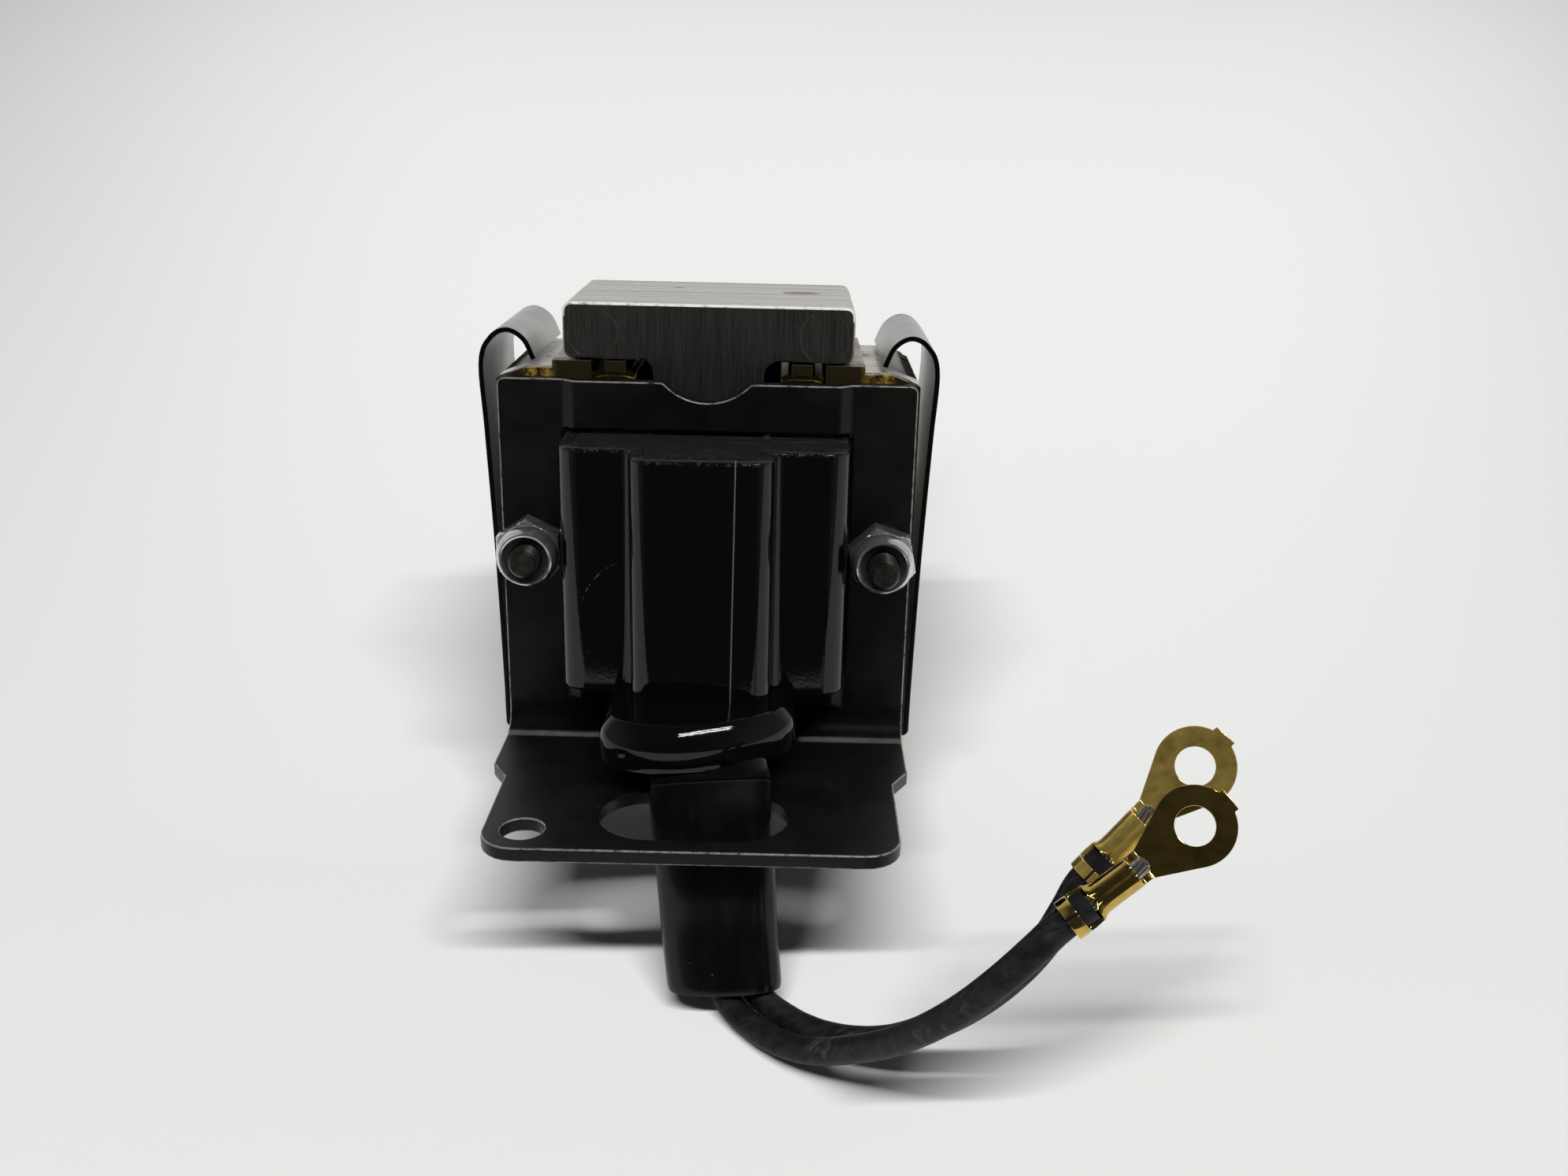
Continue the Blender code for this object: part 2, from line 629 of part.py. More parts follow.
def make_jacket():
    """Moulded jacket: block, shelf and neck in one, hollow for the wound bobbin."""
    block = soft_edged(jacket_outline(), COIL_BASE, COIL_TOP, JACKET_EDGE, "coil_jacket")
    shelf = soft_edged(shelf_outline(), SHELF_BASE, SHELF_TOP, SHELF_BULLNOSE, "shelf")
    cavity_corner = JACKET_CORNER - JACKET_WALL
    cavity = upright(rounded_rectangle(BORE_X + CAVITY_START, BORE_Y + CAVITY_START, cavity_corner),
                     COIL_BASE + JACKET_FLOOR, COIL_TOP - JACKET_FLOOR, "cavity")
    collar = BOBBIN_WALL + SEAT_GAP
    bore = upright(rounded_rectangle(BORE_X + collar, BORE_Y + collar, BOBBIN_CORNER + collar),
                   COIL_BASE - collar, COIL_TOP + collar, "bore")
    steps = [("UNION", shelf), ("UNION", make_neck()), ("DIFFERENCE", cavity), ("DIFFERENCE", bore)]
    return combine(block, steps, "coil_jacket")


def make_sleeve():
    """Flattened tube that hangs from the neck, cut off at a slant."""
    start = OUTLET + OUTLET_AXIS * SEAT_GAP
    line = smooth_line([start] + SLEEVE_LINE, SLEEVE_SIZE[1])
    outside, inside = [], []
    for i, centre in enumerate(line):
        ahead = line[min(i + 1, len(line) - 1)] - line[max(i - 1, 0)]
        axis = OUTLET_AXIS if i == 0 else ahead.normalized()
        if i == len(line) - 1:
            axis = (axis + Vector((SLEEVE_RIM_TILT, 0, 0))).normalized()
        size = Vector(SLEEVE_TOP_SIZE).lerp(Vector(SLEEVE_SIZE), i / (len(line) - 1))
        outside.append(oval_ring(centre, axis, size))
        inside.append(oval_ring(centre, axis, (size[0] - SLEEVE_WALL, size[1] - SLEEVE_WALL)))
    return loft(outside + list(reversed(inside)), "lead_sleeve", closed=True)


def bracket_sheet():
    """The bent and joggled sheet of a bracket before it is trimmed."""
    spare = SHEET
    bend_y = -(PLATE_FACE + BEND_RADIUS)
    bend_z = SHEET + BEND_RADIUS
    section = [(-PLATE_FACE, z, -1.0, 0.0) for z in (BRACKET_TOP + spare, BAND_FADE_TOP, BAND_FADE_END)]
    for y, z in arc((bend_y, bend_z), BEND_RADIUS, 0, -90, BEND_STEPS):
        section.append((y, z, (bend_y - y) / BEND_RADIUS, (bend_z - z) / BEND_RADIUS))
    section.append((-(FLANGE_REACH + spare), SHEET, 0.0, 1.0))
    band = BAND_WIDTH / 2
    columns = [-(PLATE_X + spare), -(band + JOGGLE_RUN), -band, band, band + JOGGLE_RUN, PLATE_X + spare]
    front, back = [], []
    for y, z, normal_y, normal_z in section:
        raised = [BAND_RAISE if abs(x) <= band and z >= BAND_FADE_TOP else 0.0 for x in columns]
        front.append([(x, y - r, z) for x, r in zip(columns, raised)])
        back.append([(x, y - r - SHEET * normal_y, z - SHEET * normal_z) for x, r in zip(columns, raised)])
    return sheet(front, back, "bracket")


def flange_outline():
    """Plan of a bracket: full-width ears, a taper, then the flange with rounded corners."""
    ear_y = -(PLATE_FACE + EAR_LENGTH)
    right = [(FLANGE_X, -FLANGE_REACH, FLANGE_CORNER), (FLANGE_X, ear_y - EAR_TAPER, 0),
             (PLATE_X, ear_y, 0), (PLATE_X, -PLATE_BACK + SHEET, 0)]
    left = [(-x, y, radius) for x, y, radius in reversed(right)]
    return rounded(right + left, BEND_STEPS)


def notch_outline():
    """Round notch in a bracket's top edge, with rounded shoulders, open at the top."""
    centre_z = BRACKET_TOP - NOTCH_DEPTH + NOTCH_RADIUS
    shoulder_z = BRACKET_TOP - NOTCH_SHOULDER
    reach = NOTCH_RADIUS + NOTCH_SHOULDER
    shoulder_x = math.sqrt(reach ** 2 - (centre_z - shoulder_z) ** 2)
    lean = math.degrees(math.atan2(centre_z - shoulder_z, shoulder_x))
    right = arc((0, centre_z), NOTCH_RADIUS, -90, -lean, BEND_STEPS)
    right += arc((shoulder_x, shoulder_z), NOTCH_SHOULDER, 180 - lean, 90, CORNER_STEPS)[1:]
    right.append((shoulder_x, BRACKET_TOP + SHEET))
    return right + [(-x, z) for x, z in reversed(right[1:])]


def obround(length, width, centre_y):
    """Outline of a slot with round ends, lengthwise along X."""
    end = (length - width) / 2
    right = arc((end, centre_y), width / 2, -90, 90, ROUND_STEPS // 2)
    left = arc((-end, centre_y), width / 2, 90, 270, ROUND_STEPS // 2)
    return right + left


def make_bracket():
    """Front angle bracket: plate with coil window and notch, and flange with its two holes."""
    depth = FLANGE_REACH + SHEET
    face = rounded([(PLATE_X, -SHEET, 0), (PLATE_X, BRACKET_TOP, BRACKET_CORNER),
                    (-PLATE_X, BRACKET_TOP, BRACKET_CORNER), (-PLATE_X, -SHEET, 0)])
    low, high = COIL_BASE - WINDOW_END_GAP, COIL_TOP + WINDOW_END_GAP
    window = rounded([(WINDOW_X, low, WINDOW_CORNER), (WINDOW_X, high, WINDOW_CORNER),
                      (-WINDOW_X, high, WINDOW_CORNER), (-WINDOW_X, low, WINDOW_CORNER)])
    mount = circle((-(FLANGE_X - MOUNT_HOLE_SIDE_INSET), -(FLANGE_REACH - MOUNT_HOLE_EDGE_INSET)),
                   MOUNT_HOLE_RADIUS)
    lead_hole = obround(LEAD_HOLE_LENGTH, LEAD_HOLE_WIDTH, -LEAD_HOLE_Y)
    steps = [("INTERSECT", upright(flange_outline(), -SHEET, BRACKET_TOP + 2 * SHEET, "flange_plan")),
             ("INTERSECT", through(face, -depth, 0, "plate_face")),
             ("DIFFERENCE", through(window, -depth, 0, "coil_window")),
             ("DIFFERENCE", through(notch_outline(), -depth, 0, "top_notch")),
             ("DIFFERENCE", screw_hole(-1, depth)), ("DIFFERENCE", screw_hole(1, depth)),
             ("DIFFERENCE", upright(lead_hole, -SHEET, 2 * SHEET, "lead_hole")),
             ("DIFFERENCE", upright(mount, -SHEET, 2 * SHEET, "mount_hole"))]
    return combine(bracket_sheet(), steps, "bracket")


def make_screw(side, proud):
    """Through screw with a slotted pan head at the rear and a plain end at the front."""
    end = -(NUT_RIM + proud)
    seat = PLATE_FACE + SEAT_GAP
    top = seat + SCREW_HEAD_HEIGHT
    place = (side * SCREW_X, SCREW_Z)
    profile = [(0, end), (SCREW_RADIUS - SCREW_CHAMFER, end), (SCREW_RADIUS, end + SCREW_CHAMFER),
               (SCREW_RADIUS, seat), (SCREW_HEAD_RADIUS, seat), (SCREW_HEAD_RADIUS, top - SCREW_HEAD_EDGE)]
    profile += arc((SCREW_HEAD_RADIUS - SCREW_HEAD_EDGE, top - SCREW_HEAD_EDGE), SCREW_HEAD_EDGE,
                   0, 90, CORNER_STEPS)[1:] + [(0, top)]
    half_slot = SCREW_SLOT_WIDTH / 2
    slot = [(place[0] - half_slot, SCREW_Z - 2 * SCREW_HEAD_RADIUS),
            (place[0] + half_slot, SCREW_Z - 2 * SCREW_HEAD_RADIUS),
            (place[0] + half_slot, SCREW_Z + 2 * SCREW_HEAD_RADIUS),
            (place[0] - half_slot, SCREW_Z + 2 * SCREW_HEAD_RADIUS)]
    cut = through(slot, top - SCREW_SLOT_DEPTH, top + SCREW_SLOT_DEPTH, "screw_slot")
    return combine(turned(profile, "through_screw", place), [("DIFFERENCE", cut)], "through_screw")


def make_nut(side, turn):
    """Hex lock nut, turned anticlockwise from corner up, with a round collar that holds the insert."""
    place = (side * SCREW_X, SCREW_Z)
    corner = NUT_ACROSS_FLATS / math.sqrt(3)
    hexagon = [(place[0] + corner * math.sin(math.radians(60 * i - turn)),
                place[1] + corner * math.cos(math.radians(60 * i - turn))) for i in range(6)]
    body = through(hexagon, -NUT_COLLAR_BASE, -NUT_SEAT, "lock_nut")
    lap = NUT_COLLAR_BASE - SHEET
    collar = turned([(0, -NUT_RIM), (NUT_COLLAR_RIM, -NUT_RIM), (NUT_COLLAR_ROOT, -NUT_COLLAR_BASE),
                     (NUT_COLLAR_ROOT, -lap), (0, -lap)], "collar", place)
    groove_top = NUT_RIM - NUT_LIP_DEPTH
    groove_base = INSERT_TOP - INSERT_HEIGHT - SEAT_GAP
    bore = turned([(0, -NUT_RIM - SHEET), (NUT_LIP_RADIUS, -NUT_RIM - SHEET), (NUT_LIP_RADIUS, -groove_top),
                   (NUT_GROOVE_RADIUS, -groove_top), (NUT_GROOVE_RADIUS, -groove_base),
                   (NUT_BORE_RADIUS, -groove_base), (NUT_BORE_RADIUS, -NUT_SEAT + SHEET),
                   (0, -NUT_SEAT + SHEET)], "nut_bore", place)
    return combine(body, [("UNION", collar), ("DIFFERENCE", bore)], "lock_nut")


def make_insert(side):
    """Ring of the lock nut that grips the screw."""
    inner = SCREW_RADIUS + HOLE_GAP
    low, high = -INSERT_TOP, -(INSERT_TOP - INSERT_HEIGHT)
    profile = [(inner, low), (INSERT_RADIUS, low), (INSERT_RADIUS, high), (inner, high)]
    return turned(profile, "nut_insert", (side * SCREW_X, SCREW_Z), ring=True)


def make_strap():
    """Spring strap: a U under the frame whose arms curl over the frame's shoulders."""
    half = STRAP_SHEET / 2
    side_x = FRAME_X + STRAP_SIDE_GAP + half
    upper = [(FRAME_X + dx, 0, SHOULDER + dz) for dx, dz in STRAP_FROM_SHOULDER]
    lower = [(FRAME_X + dx, 0, FRAME_BASE + dz) for dx, dz in STRAP_FROM_BASE]
    arm = smooth_line(upper + lower + [(side_x, 0, half + STRAP_BEND)], STRAP_SPACING)
    bend = arc((side_x - STRAP_BEND, half + STRAP_BEND), STRAP_BEND, 0, -90, BEND_STEPS)
    line = [Vector((point.x, point.z)) for point in arm] + [Vector(point) for point in bend[1:]]
    line += [Vector((-point.x, point.y)) for point in reversed(line)]
    outer, inner = [], []
    for i, point in enumerate(line):
        before = (point - line[i - 1]).normalized() if i else (line[1] - line[0]).normalized()
        after = (line[i + 1] - point).normalized() if i + 1 < len(line) else before
        normal = (before.orthogonal() + after.orthogonal()).normalized()
        offset = normal * half / normal.dot(before.orthogonal())
        outer.append(tuple(point - offset))
        inner.append(tuple(point + offset))
    return through(outer + inner[::-1], -STRAP_WIDTH / 2, STRAP_WIDTH / 2, "spring_strap")


def add_lead(name, route, finish):
    """Lead as a tube along its route, with closed ends."""
    line = smooth_line(route, LEAD_SPACING)
    curve = bpy.data.curves.new(name, "CURVE")
    curve.dimensions = "3D"
    curve.bevel_depth = LEAD_RADIUS
    curve.bevel_resolution = 2
    curve.use_fill_caps = True
    spline = curve.splines.new("POLY")
    spline.points.add(len(line) - 1)
    for point, place in zip(spline.points, line):
        point.co = (*place, 1.0)
    curve.materials.append(finish)
    result = bpy.data.objects.new(name, curve)
    bpy.context.scene.collection.objects.link(result)
    return result


def terminal_place(route, facing):
    """Matrix of a terminal: X along the lead's end, Z out of the ring's face, at the ring's centre."""
    end = Vector(route[-1])
    along = (end - Vector(route[-3])).normalized()
    out = Vector(facing)
    out = (out - along * out.dot(along)).normalized()
    across = out.cross(along)
    place = Matrix((along, across, out)).transposed().to_4x4()
    place.translation = end + along * LEAD_END - out * CRIMP_AXIS
    return place


def rolled(distance, radius, seam, share, base):
    """One station of the crimp: its distance, the roll's radius, its width and its lowest height."""
    return (-distance, radius, share * (2 * math.pi * radius - seam), base)


def make_crimp():
    """Neck, wire barrel and insulation grip of a terminal as one rolled sheet."""
    half = TERMINAL_SHEET / 2
    grip_base = CRIMP_AXIS - GRIP_RADIUS
    flat_start = TERMINAL_RING_RADIUS
    stations = [(-flat_start, None, TERMINAL_NECK_WIDTH, half),
                (-TERMINAL_NECK_END, None, TERMINAL_NECK_WIDTH, half),
                rolled(BARREL_START, BARREL_RADIUS, BARREL_SEAM, 1.0, half),
                rolled(BARREL_END, BARREL_RADIUS, BARREL_SEAM, 1.0, half),
                rolled(WINDOW_START, GRIP_RADIUS, GRIP_SEAM, 0.5, grip_base),
                rolled(GRIP_START, GRIP_RADIUS, GRIP_SEAM, 0.5, grip_base)]
    for step in range(1, CORNER_STEPS + 1):
        closing = step / CORNER_STEPS
        stations.append(rolled(GRIP_START + SEAT_GAP * closing, GRIP_RADIUS, GRIP_SEAM,
                               0.5 + closing / 2, grip_base))
    stations.append(rolled(GRIP_START + GRIP_LENGTH, GRIP_RADIUS, GRIP_SEAM, 1.0, grip_base))
    front, back = [], []
    for u, radius, width, base in stations:
        inner_row, outer_row = [], []
        for i in range(SHEET_COLUMNS + 1):
            run = width * (i / SHEET_COLUMNS - 0.5)
            turn = run / radius if radius else 0.0
            v = radius * math.sin(turn) if radius else run
            w = base + (radius * (1 - math.cos(turn)) if radius else 0.0)
            inner_row.append((u, v - half * math.sin(turn), w + half * math.cos(turn)))
            outer_row.append((u, v + half * math.sin(turn), w - half * math.cos(turn)))
        front.append(inner_row)
        back.append(outer_row)
    return sheet(front, back, "crimp")


def make_terminal():
    """Ring terminal: ring with its end tab, running into the rolled crimp."""
    neck = TERMINAL_NECK_WIDTH / 2
    tab = TERMINAL_TAB_WIDTH / 2
    tip = TERMINAL_RING_RADIUS + TERMINAL_TAB_LENGTH
    tab_turn = math.degrees(math.asin(tab / TERMINAL_RING_RADIUS))
    neck_end = TERMINAL_NECK_END - TERMINAL_SHEET
    neck_reach = math.hypot(neck_end, neck)
    neck_turn = math.degrees(math.atan2(neck, -neck_end) - math.acos(TERMINAL_RING_RADIUS / neck_reach))
    upper = [(tip, tab)] + arc((0, 0), TERMINAL_RING_RADIUS, tab_turn, neck_turn, ROUND_STEPS // 2)
    upper.append((-neck_end, neck))
    outline = upper + [(x, -y) for x, y in reversed(upper)]
    plate = upright(outline, 0, TERMINAL_SHEET, "terminal")
    hole = upright(circle((0, 0), TERMINAL_HOLE_RADIUS), -TERMINAL_SHEET, 2 * TERMINAL_SHEET, "stud_hole")
    return combine(plate, [("UNION", make_crimp()), ("DIFFERENCE", hole)], "terminal")


def make_strands():
    """Bundle of bare strands through the wire barrel."""
    near = BARREL_START - STRANDS_PROUD
    taper = STRANDS_RADIUS / 2
    rings = []
    for u, radius in ((-STRANDS_START, STRANDS_RADIUS), (-near - taper, STRANDS_RADIUS), (-near, taper)):
        rings.append([(u, y, CRIMP_AXIS + z) for y, z in circle((0, 0), radius, ROUND_STEPS // 2)])
    return loft(rings, "strands")


def clear_scene():
    """Remove every object of the scene that the script runs in."""
    for old in list(bpy.data.objects):
        bpy.data.objects.remove(old)


def main():
    """Build every piece of the solenoid."""
    clear_scene()
    black_steel = material("black_steel", (0.020, 0.020, 0.022), 0.42, 0.6)
    core_steel = material("core_steel", (0.21, 0.20, 0.19), 0.45, 0.9)
    copper = material("copper", (0.48, 0.20, 0.08), 0.35, 1.0)
    black_moulding = material("black_moulding", (0.012, 0.012, 0.013), 0.22, 0.0)
    nylon = material("nylon", (0.55, 0.52, 0.45), 0.5, 0.0)
    enamel = material("enamel", (0.32, 0.10, 0.03), 0.4, 0.3)
    zinc = material("zinc", (0.46, 0.46, 0.44), 0.32, 1.0)
    insert_nylon = material("insert_nylon", (0.03, 0.03, 0.035), 0.5, 0.0)
    spring_steel = material("spring_steel", (0.33, 0.33, 0.32), 0.38, 0.9)
    black_vinyl = material("black_vinyl", (0.014, 0.014, 0.015), 0.28, 0.0)
    lead_rubber = material("lead_rubber", (0.035, 0.035, 0.037), 0.6, 0.0)
    brass = material("brass", (0.50, 0.36, 0.12), 0.3, 1.0)
    tinned = material("tinned", (0.55, 0.54, 0.52), 0.35, 1.0)

    bracket = make_bracket()
    add("front_bracket", bracket, black_steel)
    add("rear_bracket", bracket, black_steel, Matrix.Rotation(math.pi, 4, "Z"))
    add("frame_stack", make_frame(), core_steel)
    add("coil_jacket", make_jacket(), black_moulding)
    add("coil_bobbin", make_bobbin(), nylon)
    add("coil_winding", make_winding(), enamel)
    add("spring_strap", make_strap(), spring_steel)
    add("lead_sleeve", make_sleeve(), black_vinyl)

    for side, hand, proud, turn in ((-1, "left", SCREW_PROUD_LEFT, NUT_TURN_LEFT),
                                    (1, "right", SCREW_PROUD_RIGHT, NUT_TURN_RIGHT)):
        add("shading_ring_" + hand, make_shading_ring(side), copper)
        add("through_screw_" + hand, make_screw(side, proud), zinc)
        add("lock_nut_" + hand, make_nut(side, turn), zinc)
        add("nut_insert_" + hand, make_insert(side), insert_nylon)

    terminal, strands = make_terminal(), make_strands()
    for hand, route, facing in (("front", LEAD_FRONT_ROUTE, LEAD_FRONT_FACING),
                                ("rear", LEAD_REAR_ROUTE, LEAD_REAR_FACING)):
        place = terminal_place(route, facing)
        add_lead("lead_" + hand, route, lead_rubber)
        add("terminal_" + hand, terminal, brass, place)
        add("strands_" + hand, strands, tinned, place)

    carriage = bpy.data.objects.new("plunger_carriage", None)
    bpy.context.scene.collection.objects.link(carriage)
    add("plunger_stack", make_plunger(), core_steel, parent=carriage)
    for name, place in zip(("left", "right", "stem"), rivet_places()):
        rivet = turned(rivet_profile(0.0), "plunger_rivet", place)
        add("plunger_rivet_" + name, rivet, core_steel, parent=carriage)


main()
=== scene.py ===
"""Dress the laminated pull solenoid: leads, terminals, brackets, core, coil, strap and fasteners.

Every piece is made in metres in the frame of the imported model. The front, with the lead outlet,
faces -Y, and +Z is up along the plunger's travel.
"""

import logging
import math
from dataclasses import dataclass
from enum import Enum
from functools import partialmethod
from typing import Callable, Optional, Sequence, Union

import bmesh
import bpy
from mathutils import Matrix, Vector


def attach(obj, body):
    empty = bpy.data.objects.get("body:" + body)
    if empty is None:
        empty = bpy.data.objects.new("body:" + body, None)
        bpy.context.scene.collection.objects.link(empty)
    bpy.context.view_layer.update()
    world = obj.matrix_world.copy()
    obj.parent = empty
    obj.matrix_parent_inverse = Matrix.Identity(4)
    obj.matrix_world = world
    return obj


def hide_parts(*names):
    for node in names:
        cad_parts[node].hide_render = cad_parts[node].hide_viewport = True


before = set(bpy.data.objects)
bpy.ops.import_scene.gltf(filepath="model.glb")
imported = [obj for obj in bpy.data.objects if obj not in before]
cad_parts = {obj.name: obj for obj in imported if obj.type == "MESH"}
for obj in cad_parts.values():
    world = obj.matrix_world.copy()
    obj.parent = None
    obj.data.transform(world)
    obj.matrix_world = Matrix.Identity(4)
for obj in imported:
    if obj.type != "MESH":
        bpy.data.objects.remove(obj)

LOG = logging.getLogger("solenoid")
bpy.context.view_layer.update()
IMAGE_WIDTH = 1992

Colour = tuple[float, float, float]
Point = tuple[float, float, float]
Flat = tuple[float, float]
Level = Union[float, "Field"]
Links = dict[Union[str, int], object]
Material = bpy.types.Material
Piece = bpy.types.Object
Solid = bmesh.types.BMesh
Socket = bpy.types.NodeSocket


class Body(Enum):
    """The two bodies that pieces ride on."""

    SOLENOID = "solenoid"
    PLUNGER = "plunger"


class Slot(Enum):
    """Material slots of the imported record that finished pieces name."""

    BLACK_STEEL = "black_steel"
    CORE_STEEL = "core_steel"
    COPPER = "copper"
    BLACK_MOULDING = "black_moulding"
    ZINC = "zinc"
    INSERT_NYLON = "insert_nylon"
    SPRING_STEEL = "spring_steel"
    BLACK_VINYL = "black_vinyl"
    LEAD_RUBBER = "lead_rubber"
    BRASS = "brass"
    TINNED = "tinned"


class Tree:
    """Short-hand for building a node tree."""

    tree: bpy.types.NodeTree

    def feed(self, target: Socket, value: object) -> None:
        """Link an input to an output, or set its constant value.

        Args:
            target: The input to fill.
            value: A field, an output socket or a constant.
        """
        value = value.socket if isinstance(value, Field) else value
        if isinstance(value, bpy.types.NodeSocket):
            self.tree.links.new(value, target)
        else:
            target.default_value = value

    def node(self, kind: str, links: Optional[Links] = None, **settings: object) -> bpy.types.Node:
        """Add a node.

        Args:
            kind: The node's type name.
            links: Fields, sockets or constants for its inputs, by name or number.
            settings: Properties to set on it.

        Returns:
            The new node.
        """
        made = self.tree.nodes.new(kind)
        for key, value in settings.items():
            setattr(made, key, value)
        for key, value in (links or {}).items():
            self.feed(made.inputs[key], value)
        return made


class Field:
    """A value in a shader tree that sums can be written with."""

    def __init__(self, graph: "Graph", socket: Socket) -> None:
        """Keep the graph and the output socket."""
        self.graph, self.socket = graph, socket

    def sum(self, operation: str, other: Level = 0.0) -> "Field":
        """One sum with another value, by Blender's name of it."""
        return self.graph.field("ShaderNodeMath", {0: self, 1: other}, operation=operation)

    __add__ = partialmethod(sum, "ADD")
    __sub__ = partialmethod(sum, "SUBTRACT")
    __mul__ = partialmethod(sum, "MULTIPLY")
    __truediv__ = partialmethod(sum, "DIVIDE")
    __pow__ = partialmethod(sum, "POWER")
    __abs__ = partialmethod(sum, "ABSOLUTE")
    max = partialmethod(sum, "MAXIMUM")

    def rest(self) -> "Field":
        """What is left of 1."""
        return self.graph.field("ShaderNodeMath", {0: 1.0, 1: self}, operation="SUBTRACT")

    def ramp(self, low: float, high: float) -> "Field":
        """Smooth step from 0 at the first value to 1 at the second."""
        return self.graph.field("ShaderNodeMapRange", {"Value": self, "From Min": low, "From Max": high},
                                interpolation_type="SMOOTHSTEP")

    def span(self, low: float, high: float) -> "Field":
        """Stretch from the range 0 to 1 onto another."""
        return self.graph.field("ShaderNodeMapRange", {"Value": self, "To Min": low, "To Max": high})

    def near(self, middle: float, width: float) -> "Field":
        """Soft line round one value, with half its width."""
        return abs(self - middle).ramp(width, 0.3 * width)


class Graph(Tree):
    """Short-hand for the tree of one procedural material, or of the world."""

    def __init__(self, name: str, world: bool = False) -> None:
        """Start a material with one Principled shader, or a world, whose coordinates are directions.

        Args:
            name: The name of the material or the world.
            world: Whether it is a world.
        """
        self.owner = (bpy.data.worlds if world else bpy.data.materials).new(name)
        self.owner.use_nodes = True
        self.tree = self.owner.node_tree
        self.shader = self.tree.nodes["Background" if world else "Principled BSDF"]
        self.coordinates = self.field("ShaderNodeTexCoord", out="Generated" if world else "Object")

    def field(self, kind: str, links: Optional[Links] = None, out: Union[int, str] = 0,
              **settings: object) -> Field:
        """Add a node and take one of its outputs."""
        return Field(self, self.node(kind, links, **settings).outputs[out])

    def parts(self, vector: Field) -> list[Field]:
        """The three numbers of a vector."""
        return [Field(self, socket) for socket in self.node("ShaderNodeSeparateXYZ", {0: vector}).outputs]

    def axes(self) -> list[Field]:
        """Object coordinates, or directions of the world."""
        return self.parts(self.coordinates)

    def facing(self) -> list[Field]:
        """The surface's own direction."""
        return self.parts(self.field("ShaderNodeNewGeometry", out="Normal"))

    def noise(self, scale: float, detail: float = 3.0, rough: float = 0.55,
              vector: Optional[Field] = None) -> Field:
        """Fractal noise from 0 to 1, by cells for each metre, octaves and strength of the fine ones."""
        return self.field("ShaderNodeTexNoise", {"Scale": scale, "Detail": detail, "Roughness": rough,
                                                 "Vector": vector or self.coordinates})

    def grain(self, scale: Point, detail: float, rough: float, turn: Point = (0.0, 0.0, 0.0)) -> Field:
        """Fractal noise with its own number of cells along each axis, turned about the axes."""
        place = {"Scale": scale, "Rotation": turn, "Vector": self.coordinates}
        return self.noise(1.0, detail, rough, self.field("ShaderNodeMapping", place))

    def specks(self, scale: float) -> Field:
        """Distance to the nearest of many scattered points, in cells."""
        return self.field("ShaderNodeTexVoronoi", {"Scale": scale, "Vector": self.coordinates})

    def ray(self, kind: str) -> Field:
        """Whether a ray of light is of one kind, as 0 or 1."""
        return self.field("ShaderNodeLightPath", out=f"Is {kind} Ray")

    def attribute(self, name: str) -> Field:
        """A number that the mesh carries at its points."""
        return self.field("ShaderNodeAttribute", out="Fac", attribute_name=name)

    def over(self, under: Union[Colour, Field], *coats: tuple[Level, Union[Colour, Field]]) -> Field:
        """Lay coats of colour over another.

        Args:
            under: The lowest colour.
            coats: Share and colour of each coat, from below.

        Returns:
            The colour on top.
        """
        for share, coat in coats:
            ends = [end if isinstance(end, Field) else (*end, 1.0) for end in (under, coat)]
            under = self.field("ShaderNodeMix", {0: share, 6: ends[0], 7: ends[1]}, out=2, data_type="RGBA")
        return under

    def bump(self, height: Field, depth: float) -> Field:
        """Shaded relief of a height from 0 to 1, with its depth in metres."""
        return self.field("ShaderNodeBump", {"Height": height, "Distance": depth})

    def set(self, **values: object) -> Material:
        """Fill the shader's inputs and hand the material over.

        Args:
            values: Inputs by name, with _ for each space, as fields or constants.

        Returns:
            The finished material.
        """
        for key, value in values.items():
            colour = isinstance(value, tuple) and len(value) == 3
            self.feed(self.shader.inputs[key.replace("_", " ")], (*value, 1.0) if colour else value)
        return self.owner


